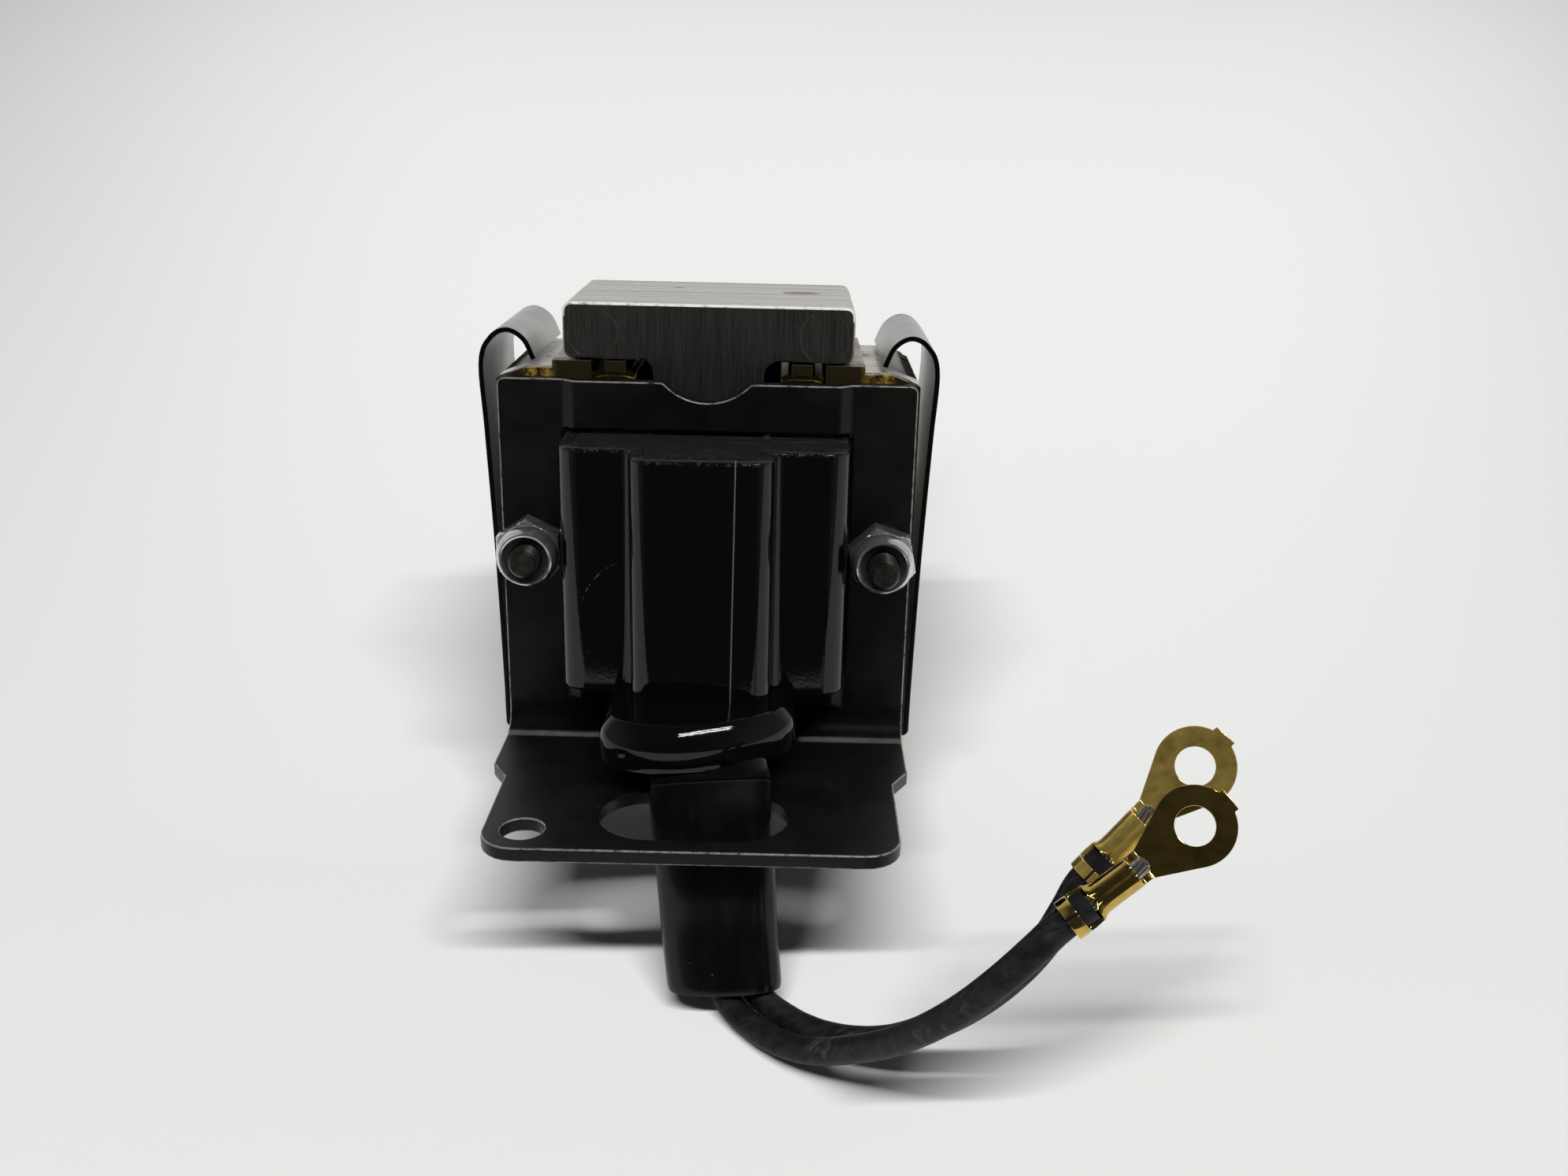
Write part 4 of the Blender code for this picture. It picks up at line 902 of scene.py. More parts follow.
def combine(bm: Solid, steps: Sequence[tuple[str, Solid]]) -> Solid:
    """Apply Booleans to a body.

    Args:
        bm: The body, which is used up.
        steps: Operation and tool of each step, the tools used up as well.

    Returns:
        The finished body.
    """
    spare = [link(f"boolean_{k}", plain_mesh(f"boolean_{k}", part))
             for k, part in enumerate([bm] + [tool for _, tool in steps])]
    for (operation, _), tool in zip(steps, spare[1:]):
        cut = spare[0].modifiers.new(operation.lower(), "BOOLEAN")
        cut.operation, cut.solver, cut.object = operation, "EXACT", tool
    result = bmesh.new()
    absorb(result, evaluated_mesh(spare[0]))
    for mesh in [old.data for old in spare]:
        bpy.data.meshes.remove(mesh)
    bmesh.ops.remove_doubles(result, verts=result.verts, dist=WELD)
    return result


def stand_for(piece: Piece, body: Body, slot: Slot, *nodes: str) -> Piece:
    """Attach a finished piece to its body and hide the CAD nodes that it replaces.

    Args:
        piece: The finished piece.
        body: The body that it rides on.
        slot: The record's material slot; not used.
        nodes: The CAD nodes that it replaces.

    Returns:
        The same piece.
    """
    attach(piece, body.value)
    if nodes:
        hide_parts(*nodes)
    count = len(piece.data.polygons) if piece.type == "MESH" else 0
    LOG.info("%s: %d faces, stands for %s", piece.name, count, ", ".join(nodes) or "itself")
    return piece


class NodeRig(Tree):
    """A geometry node tree with named inputs, run once on a body to make a plain mesh."""

    def __init__(self, name: str, **inputs: str) -> None:
        """Start a tree.

        Args:
            name: The tree's name.
            inputs: Kind of each named input.
        """
        self.tree = bpy.data.node_groups.new(name, "GeometryNodeTree")
        for label, kind in {"Geometry": "Geometry", **inputs, "Finish": "Material"}.items():
            self.tree.interface.new_socket(label, in_out="INPUT", socket_type="NodeSocket" + kind)
        self.tree.interface.new_socket("Geometry", in_out="OUTPUT", socket_type="NodeSocketGeometry")
        self.given = self.node("NodeGroupInput").outputs
        self.end = self.node("NodeGroupOutput")

    def take(self, kind: str, links: Optional[Links] = None, **settings: object) -> Socket:
        """Add a node and take its first output."""
        return self.node(kind, links, **settings).outputs[0]

    def times(self, first: Socket, second: float) -> Socket:
        """Product of a value and a constant."""
        return self.take("ShaderNodeMath", {0: first, 1: second}, operation="MULTIPLY")

    def turn(self, axis: Point, angle: Socket) -> Socket:
        """Turn about an axis."""
        return self.take("FunctionNodeAxisAngleToRotation", {"Axis": axis, "Angle": angle})

    def close(self, geometry: Socket) -> "NodeRig":
        """End the tree in Realize Instances and Set Material.

        Args:
            geometry: What the tree has made.

        Returns:
            The finished rig.
        """
        whole = self.take("GeometryNodeRealizeInstances", {"Geometry": geometry})
        dressed = self.take("GeometryNodeSetMaterial", {"Geometry": whole, "Material": self.given["Finish"]})
        self.feed(self.end.inputs[0], dressed)
        return self

    def run(self, name: str, bm: Solid, finish: Material, **values: object) -> Piece:
        """Run the tree on a body.

        Args:
            name: The piece's name.
            bm: The body, which is used up.
            finish: The piece's material.
            values: The tree's other inputs by name.

        Returns:
            A plain mesh object.
        """
        mesh = plain_mesh(name, bm, finish)
        piece = link(name, mesh)
        rig = piece.modifiers.new(self.tree.name, "NODES")
        rig.node_group = self.tree
        values["Finish"] = finish
        for item in self.tree.interface.items_tree:
            if item.in_out == "INPUT" and item.name in values:
                rig[item.identifier] = values[item.name]
        result = evaluated_mesh(piece)
        piece.modifiers.clear()
        piece.data = result
        bpy.data.meshes.remove(mesh)
        return piece


def stack_rig() -> NodeRig:
    """Tree that repeats one lamination through the depth of its stack, each a hair out of line."""
    rig = NodeRig("lamination_stack", Sheets="Int", Pitch="Float", Stray="Float", Seed="Int")
    given = rig.given
    step = rig.take("ShaderNodeCombineXYZ", {"Y": given["Pitch"]})
    row = rig.take("GeometryNodeMeshLine", {"Count": given["Sheets"], "Offset": step})
    back = rig.times(given["Stray"], -1.0)
    low = rig.take("ShaderNodeCombineXYZ", {"X": back, "Z": back})
    high = rig.take("ShaderNodeCombineXYZ", {"X": given["Stray"]})
    ends = {0: low, 1: high, "Seed": given["Seed"]}
    stray = rig.take("FunctionNodeRandomValue", ends, data_type="FLOAT_VECTOR")
    moved = rig.take("GeometryNodeSetPosition", {"Geometry": row, "Offset": stray})
    copies = {"Points": moved, "Instance": given["Geometry"]}
    return rig.close(rig.take("GeometryNodeInstanceOnPoints", copies))


def pair_rig() -> NodeRig:
    """Tree that sets one fastener at two places along X, each turned about its axis and moved along it."""
    ends = {"Left": -1.0, "Right": 1.0}
    own = {f"{hand}_{way}": "Float" for hand in ends for way in ("turn", "out")}
    rig = NodeRig("fastener_pair", Spread="Float", Rise="Float", **own)
    given = rig.given
    joined = rig.node("GeometryNodeJoinGeometry")
    for hand, sign in ends.items():
        across, ahead = rig.times(given["Spread"], sign), rig.times(given[hand + "_out"], -1.0)
        place = rig.take("ShaderNodeCombineXYZ", {"X": across, "Y": ahead, "Z": given["Rise"]})
        turn = rig.turn((0.0, 1.0, 0.0), given[hand + "_turn"])
        point = rig.take("GeometryNodePoints", {"Count": 1, "Position": place})
        copy = {"Points": point, "Instance": given["Geometry"], "Rotation": turn}
        rig.feed(joined.inputs[0], rig.take("GeometryNodeInstanceOnPoints", copy))
    return rig.close(joined.outputs[0])


def strand_rig() -> NodeRig:
    """Tree that lays one ring of strands round an axis along Z, with a slow twist."""
    rig = NodeRig("strand_ring", Strands="Int", Ring="Float", Thickness="Float", Length="Float", Lay="Float")
    given = rig.given
    line = rig.take("GeometryNodeCurveSpiral", {"Resolution": 40, "Rotations": given["Lay"],
                                                "Start Radius": given["Ring"], "End Radius": given["Ring"],
                                                "Height": given["Length"]})
    section = rig.take("GeometryNodeCurvePrimitiveCircle", {"Resolution": 8, "Radius": given["Thickness"]})
    strand = rig.take("GeometryNodeCurveToMesh", {"Curve": line, "Profile Curve": section, "Fill Caps": True})
    points = rig.take("GeometryNodePoints", {"Count": given["Strands"]})
    index = rig.take("GeometryNodeInputIndex")
    share = rig.take("ShaderNodeMath", {0: index, 1: given["Strands"]}, operation="DIVIDE")
    turn = rig.turn((0.0, 0.0, 1.0), rig.times(share, 2 * math.pi))
    copies = {"Points": points, "Instance": strand, "Rotation": turn}
    return rig.close(rig.take("GeometryNodeInstanceOnPoints", copies))


@dataclass
class Studio:
    """Camera, floor, room and lamps.

    The solenoid lies on the lower edge of its rear flange and on its leads, so the floor slopes down
    towards the front.
    """

    camera_place: Point = (0.010737, -0.202056, 0.087222)
    camera_pitch: float = 0.327
    camera_roll: float = 0.023
    camera_clip: Flat = (0.01, 20.0)
    focal_pixels: float = 1812.947
    sensor: float = 36.0
    touch: Flat = (0.0501, -0.0002)
    slope: float = 0.261
    floor_span: Flat = (-0.24, 1.30)
    floor_half: float = 1.3
    pale: Colour = (0.85, 0.85, 0.835)
    glow: float = 0.38
    fill: float = 0.03
    room_tint: Colour = (1.0, 1.0, 0.99)
    room_dark: float = 0.040
    room_light: float = 0.66
    room_seen: float = 0.82
    tube_far: float = 1.5
    tube_side: float = 0.333
    tube_lifts: Flat = (52.6, 55.2)
    tube_size: Flat = (0.85, 0.026)
    tube_power: float = 3.4
    main_side: float = 0.05
    main_lift: float = 52.6
    main_size: Flat = (1.2, 0.05)
    main_power: float = 23.4

    def camera(self) -> None:
        """Set the camera at the photograph's viewing angle."""
        data = bpy.data.cameras.new("camera")
        data.sensor_width = self.sensor
        data.lens = self.focal_pixels / IMAGE_WIDTH * self.sensor
        data.clip_start, data.clip_end = self.camera_clip
        eye = link("camera", data)
        tilt = Matrix.Rotation(math.pi / 2 - self.camera_pitch, 4, "X")
        turn = tilt @ Matrix.Rotation(self.camera_roll, 4, "Z")
        eye.matrix_world = Matrix.Translation(Vector(self.camera_place)) @ turn
        bpy.context.scene.camera = eye
        bpy.context.scene.view_settings.view_transform = "Standard"

    def backdrop(self) -> None:
        """Lay the pale floor, wide enough to fill the picture."""
        low, high = [(y, self.touch[1] + (y - self.touch[0]) * self.slope) for y in self.floor_span]
        reach = self.floor_half
        bm = bmesh.new()
        bm.faces.new([bm.verts.new(corner) for corner in ((-reach, *low), (reach, *low), (reach, *high),
                                                          (-reach, *high))])
        g = Graph("paper")
        x, y, _ = g.axes()
        # Painted light on the floor: its glow grows with distance, falls off towards the sides, and is left
        # out next to and under the solenoid, which paints a shadow there.
        aside = abs(x / (y + 0.2) - 0.07)
        clear = abs(x).ramp(0.028, 0.055).max(y.ramp(0.06, 0.12))
        painted_floor_glow = y.ramp(-0.02, 0.60) ** 0.4 * clear * aside.ramp(0.80, 0.25)
        seen = g.ray("Camera").max(g.ray("Glossy")) * (painted_floor_glow * self.glow)
        paper = g.set(Base_Color=self.pale, Roughness=g.noise(900.0).span(0.92, 1.0), Specular_IOR_Level=0.0,
                      Emission_Color=self.pale, Emission_Strength=seen)
        mesh = plain_mesh("backdrop", bm, paper)
        link("backdrop", mesh)

    def room(self) -> None:
        """Surround it by a pale room, mirrored dark on the camera's side, bright behind and at the sides."""
        g = Graph("room", world=True)
        bpy.context.scene.world = g.owner
        x, y, _ = g.axes()
        sides = abs(x).ramp(0.35, 1.0) * 0.32
        mirrored = y.ramp(-0.1, 0.7).max(sides).span(self.room_dark, self.room_light)
        direct, diffuse = g.ray("Camera"), g.ray("Diffuse")
        shown = diffuse * self.fill + direct * self.room_seen
        g.set(Strength=mirrored * (direct + diffuse).rest() + shown, Color=self.room_tint)

    def lamp(self, name: str, side: float, lift: float, size: Flat, power: float) -> Piece:
        """Hang one tube in front.

        Args:
            name: The tube's name.
            side: How far it is to the right.
            lift: Its height as an angle in degrees.
            size: Its length along X and its width.
            power: Its power in watts.

        Returns:
            The tube.
        """
        data = bpy.data.lights.new(name, "AREA")
        data.shape = "RECTANGLE"
        data.size, data.size_y = size
        data.energy = power
        made = link(name, data)
        bend = math.radians(lift)
        made.location = Vector((side, -math.cos(bend), math.sin(bend))) * self.tube_far
        made.rotation_mode = "QUATERNION"
        made.rotation_quaternion = (-made.location).to_track_quat("-Z", "Y")
        return made

    def lamps(self) -> None:
        """Hang one long tube that lights the scene, and a pair on the right that gives the highlights."""
        main_tube = self.lamp("main_tube", self.main_side, self.main_lift, self.main_size, self.main_power)
        main_tube.visible_glossy = False
        for number, lift in enumerate(self.tube_lifts):
            tube = self.lamp(f"glint_tube_{number}", self.tube_side, lift, self.tube_size, self.tube_power)
            tube.visible_diffuse = False


@dataclass
class LeadSet:
    """Two rubber leads that run through a flattened vinyl sleeve."""

    radius: float = 0.0017
    spacing: float = 0.0036
    measure_step: float = 0.0005
    curve_steps: int = 6
    front_route: tuple[Point, ...] = (
        (-0.0005, -0.0390, 0.0003), (-0.0005, -0.0398, -0.0030), (-0.0004, -0.0404, -0.0070),
        (0.0001, -0.0411, -0.0115), (0.0012, -0.0419, -0.0158), (0.00275, -0.0430, -0.0196),
        (0.0053, -0.0456, -0.0229), (0.0083, -0.0484, -0.0240), (0.0119, -0.0516, -0.0239),
        (0.0158, -0.0545, -0.0227), (0.0200, -0.0582, -0.0196), (0.0241, -0.0631, -0.0149),
        (0.0277, -0.0678, -0.0095), (0.0311, -0.0712, -0.0043), (0.0343, -0.0729, 0.0002),
        (0.0373, -0.0735, 0.0041), (0.03985, -0.0731, 0.00685), (0.0415, -0.07275, 0.0081),
        (0.0432, -0.0724, 0.00945))
    rear_route: tuple[Point, ...] = (
        (0.0040, -0.0390, 0.0003), (0.0040, -0.0398, -0.0030), (0.0039, -0.0403, -0.0070),
        (0.0041, -0.0408, -0.0115), (0.0050, -0.0413, -0.0156), (0.0066, -0.0426, -0.0193),
        (0.0090, -0.0443, -0.0222), (0.0123, -0.0466, -0.0235), (0.0162, -0.0493, -0.0237),
        (0.0206, -0.0520, -0.0227), (0.0252, -0.0550, -0.0202), (0.0294, -0.0586, -0.0158),
        (0.0331, -0.0625, -0.0104), (0.0363, -0.0658, -0.0048), (0.0391, -0.0675, 0.0003),
        (0.0412, -0.0680, 0.0048), (0.0429, -0.0676, 0.0086), (0.04426, -0.0673, 0.01017),
        (0.0457, -0.0670, 0.0118))
    outlet: Point = (0.0019, -0.0365, 0.0044)
    outlet_lean: float = 0.04
    outlet_gap: float = 0.00003
    sleeve_steps: tuple[Point, ...] = ((0.00015, -0.0024, -0.0038), (0.00095, -0.0041, -0.0109),
                                       (0.0015, -0.0051, -0.0179), (0.00235, -0.0070, -0.0256))
    sleeve_spacing: float = 0.0006
    sleeve_top: Flat = (0.0078, 0.0027)
    sleeve_end: Flat = (0.0074, 0.0038)
    sleeve_wall: float = 0.0006
    sleeve_edge: float = 0.00012
    sleeve_power: float = 2.4
    rim_tilt: float = -0.06
    rim_rings: int = 7
    oval_steps: int = 72

    def lead(self, name: str, route: Sequence[Point], finish: Material) -> Piece:
        """Make one lead as a curve along its route.

        Args:
            name: The piece's name.
            route: The route's points.
            finish: The rubber.

        Returns:
            The curve object.
        """
        line = smooth_line(route, self.spacing)
        curve = bpy.data.curves.new(name, "CURVE")
        curve.dimensions = "3D"
        curve.resolution_u = curve.bevel_resolution = self.curve_steps
        curve.bevel_depth = self.radius
        curve.use_fill_caps = True
        spline = curve.splines.new("BEZIER")
        spline.bezier_points.add(len(line) - 1)
        for knot, place in zip(spline.bezier_points, line):
            knot.co = place
            knot.handle_left_type = knot.handle_right_type = "AUTO"
        curve.materials.append(finish)
        return link(name, curve)

    def length(self, route: Sequence[Point]) -> float:
        """Length of a route, along its smooth line."""
        line = smooth_line(route, self.measure_step)
        return sum((second - first).length for first, second in zip(line, line[1:]))

    def outlet_axis(self) -> Vector:
        """Direction in which the sleeve leaves the neck."""
        return (Vector(self.sleeve_steps[0]).normalized() + Vector((self.outlet_lean, 0, 0))).normalized()

    def oval(self, centre: Vector, axis: Vector, size: Sequence[float], less: float = 0.0) -> list[Vector]:
        """Ring of a flattened oval.

        Args:
            centre: Its middle.
            axis: The direction that it is square to.
            size: Its half sizes.
            less: How much smaller it is than these.

        Returns:
            Its points.
        """
        across = (Vector((1, 0, 0)) - axis * axis.x).normalized()
        depth = axis.cross(across)
        ring = []
        for u, v in arc((0, 0), 1.0, 0, 360, self.oval_steps)[:-1]:
            u, v = (math.copysign(abs(part) ** (2 / self.sleeve_power), part) for part in (u, v))
            ring.append(centre + across * (u * (size[0] - less)) + depth * (v * (size[1] - less)))
        return ring

    def sleeve(self, finish: Material) -> Piece:
        """Make the sleeve, thin-walled, cut off at a slant.

        Args:
            finish: The vinyl.

        Returns:
            The sleeve.
        """
        axis, outlet = self.outlet_axis(), Vector(self.outlet)
        route = [outlet + axis * self.outlet_gap] + [outlet + Vector(step) for step in self.sleeve_steps]
        line = smooth_line(route, self.sleeve_spacing)
        last = len(line) - 1
        outside, inside = [], []
        for i, centre in enumerate(line):
            ahead = (line[min(i + 1, last)] - line[max(i - 1, 0)]).normalized()
            way = ahead.lerp(axis, max(0.0, 1 - i / self.rim_rings)).normalized()
            cut = max(0.0, 1 - (last - i) / self.rim_rings)
            way = (way + Vector((self.rim_tilt * cut, 0, 0))).normalized()
            size = Vector(self.sleeve_top).lerp(Vector(self.sleeve_end), i / last)
            edge = self.sleeve_edge if i in (0, last) else 0.0
            outside.append(self.oval(centre, way, size, edge))
            inside.append(self.oval(centre, way, size, self.sleeve_wall - edge))
        bm = loft(outside + list(reversed(inside)), closed=True)
        layer = bm.verts.layers.float.new("wear")
        bm.verts.ensure_lookup_table()
        for k in range(self.oval_steps):
            bm.verts[k][layer] = bm.verts[last * self.oval_steps + k][layer] = 1.0
        return build("lead_sleeve_vinyl", bm, finish, 50.0)

    def make(self, rubber: Material, vinyl: Material) -> list[Piece]:
        """Make and register the leads and the sleeve.

        Args:
            rubber: The leads' finish.
            vinyl: The sleeve's finish.

        Returns:
            The front and the rear lead.
        """
        leads = []
        for hand, route in (("front", self.front_route), ("rear", self.rear_route)):
            lead = self.lead(f"lead_{hand}_rubber", route, rubber)
            leads.append(stand_for(lead, Body.SOLENOID, Slot.LEAD_RUBBER, f"lead_{hand}"))
        stand_for(self.sleeve(vinyl), Body.SOLENOID, Slot.BLACK_VINYL, "lead_sleeve")
        return leads


@dataclass
class RingTerminals:
    """Brass ring terminals, crimped on the leads, with the bare strands in their barrels."""

    sheet: float = 0.0005
    ring: float = 0.0043
    hole: float = 0.0021
    nub: float = 0.00125
    nub_length: float = 0.00032
    neck: float = 0.0017
    neck_end: float = 0.0072
    barrel_start: float = 0.0080
    barrel_end: float = 0.0126
    barrel_radius: float = 0.0015
    barrel_turn: float = 150.0
    lip_radius: float = 0.00052
    lip_turn: float = 150.0
    flare: float = 0.0007
    flare_rise: float = 0.00042
    grip_start: float = 0.0152
    grip_length: float = 0.0014
    grip_radius: float = 0.00200
    grip_open: float = 1.45
    grip_gap: float = 0.00012
    lead_end: float = 0.0136
    strands_start: float = 0.0062
    strand_radius: float = 0.00019
    strand_layers: tuple[tuple[int, float, float], ...] = ((1, 0.01, 1.0), (6, 2.05, 0.985),
                                                           (12, 3.95, 0.955))
    strand_lay: float = 0.22
    columns: int = 56
    plate_rounding: float = 0.00009
    crimp_rounding: float = 0.00008
    front_facing: Point = (-0.214, -0.840, 0.498)
    rear_facing: Point = (-0.271, -0.866, 0.421)

    @property
    def axis_height(self) -> float:
        """Height of the lead's axis over the ring's underside."""
        return self.barrel_radius + self.sheet / 2

    def place(self, route: Sequence[Point], facing: Point) -> Matrix:
        """Matrix of a terminal at the end of its lead.

        Args:
            route: The lead's route.
            facing: The direction out of the ring's face.

        Returns:
            X along the lead's end, Z out of the face, at the ring's centre.
        """
        end = Vector(route[-1])
        along = (end - Vector(route[-3])).normalized()
        out = Vector(facing)
        out = (out - along * out.dot(along)).normalized()
        result = Matrix((along, out.cross(along), out)).transposed().to_4x4()
        result.translation = end + along * self.lead_end - out * self.axis_height
        return result

    def plate(self) -> Solid:
        """Flat ring with its small end nub and its tapering neck."""
        end = self.neck_end - self.sheet
        first = math.degrees(math.asin(self.nub / self.ring))
        last = math.degrees(math.atan2(self.neck, -end) - math.acos(self.ring / math.hypot(end, self.neck)))
        upper = [(self.ring + self.nub_length, self.nub)] + arc((0, 0), self.ring, first, last, 36)
        upper.append((-end, self.neck))
        drill = prism(arc((0, 0), self.hole, 0, 360, 48)[:-1], -self.sheet, 2 * self.sheet)
        body = prism(upper + [(x, -y) for x, y in reversed(upper)], 0.0, self.sheet)
        return combine(body, [("DIFFERENCE", drill)])

    def curl(self, run: float, radius: float, lips: bool) -> tuple[float, float, float]:
        """Point and turn of the rolled section at one distance from its middle line.

        Args:
            run: Distance along the section from its lowest point.
            radius: The roll's radius.
            lips: Whether the section's ends roll inwards.

        Returns:
            Sideways place, height over the lowest point, and turn of the sheet.
        """
        side = math.copysign(1.0, run)
        run = abs(run)
        turn = math.radians(self.barrel_turn)
        straight = turn * radius
        if not lips or run <= straight:
            turn = run / radius
            return side * radius * math.sin(turn), radius * (1 - math.cos(turn)), side * turn
        whole = turn + (run - straight) / self.lip_radius
        v = radius * math.sin(turn) - self.lip_radius * (math.sin(turn) - math.sin(whole))
        w = radius * (1 - math.cos(turn)) + self.lip_radius * (math.cos(turn) - math.cos(whole))
        return side * v, w, side * whole

    def stations(self) -> list[tuple[float, float, float, float, bool]]:
        """Distance, radius, half width, base and whether there are lips, of each section of the crimp."""
        start, end, radius, tall = self.barrel_start, self.barrel_end, self.barrel_radius, self.axis_height
        full = math.radians(self.barrel_turn) * radius + math.radians(self.lip_turn) * self.lip_radius
        under, wide = tall - radius, radius + self.flare_rise
        flat, rolled = (self.neck, self.sheet / 2, False), (full, under, True)
        rows = [(self.neck_end - 0.0006, 0.05, *flat), (start - 0.00046, 0.05, *flat),
                (start - 0.0003, 0.03, *flat), (start - 0.00004, 0.0022, self.neck * 1.04, under, False),
                (start, radius, *rolled), (start + 0.0006, radius, *rolled), (end - 0.0010, radius, *rolled),
                (end - 0.0002, radius + 0.00004, full, under - 0.00003, True),
                (end + 0.0003, radius + 0.00016, full, under - 0.00014, True),
                (end + self.flare, wide, full, tall - wide, True),
                (end + self.flare + 0.00006, wide, full * 0.5, tall - wide, False)]
        grip, held = self.grip_start, self.grip_radius
        narrow, closed = held * self.grip_open, math.pi * held - self.grip_gap
        for distance, width in ((grip - 0.0008, narrow), (grip - 0.0001, narrow), (grip, closed),
                                (grip + self.grip_length, closed)):
            rows.append((distance, held, width, tall - held, False))
        return rows

    def crimp(self) -> Solid:
        """Neck, barrel with rolled lips, window and insulation grip as one formed sheet."""
        half = self.sheet / 2
        front, back = [], []
        for distance, radius, width, base, lips in self.stations():
            inner, outer = [], []
            for i in range(self.columns + 1):
                v, w, turn = self.curl(width * (2 * i / self.columns - 1), radius, lips)
                inner.append((-distance, v - half * math.sin(turn), base + w + half * math.cos(turn)))
                outer.append((-distance, v + half * math.sin(turn), base + w - half * math.cos(turn)))
            front.append(inner)
            back.append(outer)
        return sheet_body(front, back)

    def strands(self, name: str, rig: NodeRig, finish: Material) -> Solid:
        """Lay the bundle of strands along the terminal's own axis.

        Args:
            name: The working name.
            rig: The tree that lays one ring of strands.
            finish: Their finish.

        Returns:
            The bundle, with its end at the start of the insulation.
        """
        length = self.lead_end - self.strands_start
        whole = bmesh.new()
        for count, ring, reach in self.strand_layers:
            layer = rig.run(name, bmesh.new(), finish, Strands=count, Ring=ring * self.strand_radius,
                            Thickness=self.strand_radius, Length=length * reach, Lay=self.strand_lay)
            absorb(whole, layer.data)
        turn = Matrix.Rotation(math.pi / 2, 4, "Y")
        whole.transform(Matrix.Translation((-self.lead_end, 0, self.axis_height)) @ turn)
        return whole

    def make(self, leads: LeadSet, cords: Sequence[Piece], finishes: Sequence[Material],
             tinned: Material) -> None:
        """Args:
            leads: The leads' sizes and routes.
            cords: The front and the rear lead; not used.
            finishes: The front and the rear terminal's finish.
            tinned: The strands' finish.
        """
        rig = strand_rig()
        rows = (("front", leads.front_route, self.front_facing, cords[0], finishes[0]),
                ("rear", leads.rear_route, self.rear_facing, cords[1], finishes[1]))
        for hand, route, facing, cord, brass in rows:
            place = self.place(route, facing)
            body = soften(self.plate(), self.plate_rounding, 2)
            absorb(body, plain_mesh("formed", soften(self.crimp(), self.crimp_rounding, 2, 50.0)))
            body.transform(place)
            terminal = build(f"terminal_{hand}_brass", body, brass, 40.0)
            stand_for(terminal, Body.SOLENOID, Slot.BRASS, f"terminal_{hand}")
            bundle = self.strands(f"strands_{hand}_ring", rig, tinned)
            bundle.transform(place)
            wires = build(f"strands_{hand}_tinned", bundle, tinned, 60.0)
            stand_for(wires, Body.SOLENOID, Slot.TINNED, f"strands_{hand}")
            leads.length(route)


@dataclass
class Brackets:
    """The two angle brackets that clamp the core."""

    rounding: float = 0.00030
    slot_x: float = 0.0130
    slot_y: Flat = (0.0300, 0.0493)
    window_x: float = 0.0212
    window_z: Flat = (0.0040, 0.0488)

    def make(self, finish: Material) -> None:
        """Make and register both brackets with rounded edges.

        Args:
            finish: The black steel.
        """
        for hand in ("front", "rear"):
            body = soften(cad_copy(f"{hand}_bracket"), self.rounding)
            wear = body.verts.layers.float["wear"]
            for vert in body.verts:
                x, y, z = abs(vert.co.x), abs(vert.co.y), vert.co.z
                in_slot = x < self.slot_x and self.slot_y[0] < y < self.slot_y[1]
                in_window = x < self.window_x and self.window_z[0] < z < self.window_z[1]
                if in_slot or in_window:
                    vert[wear] = 0.0
            piece = build(f"{hand}_bracket_sheet", body, finish)
            stand_for(piece, Body.SOLENOID, Slot.BLACK_STEEL, f"{hand}_bracket")


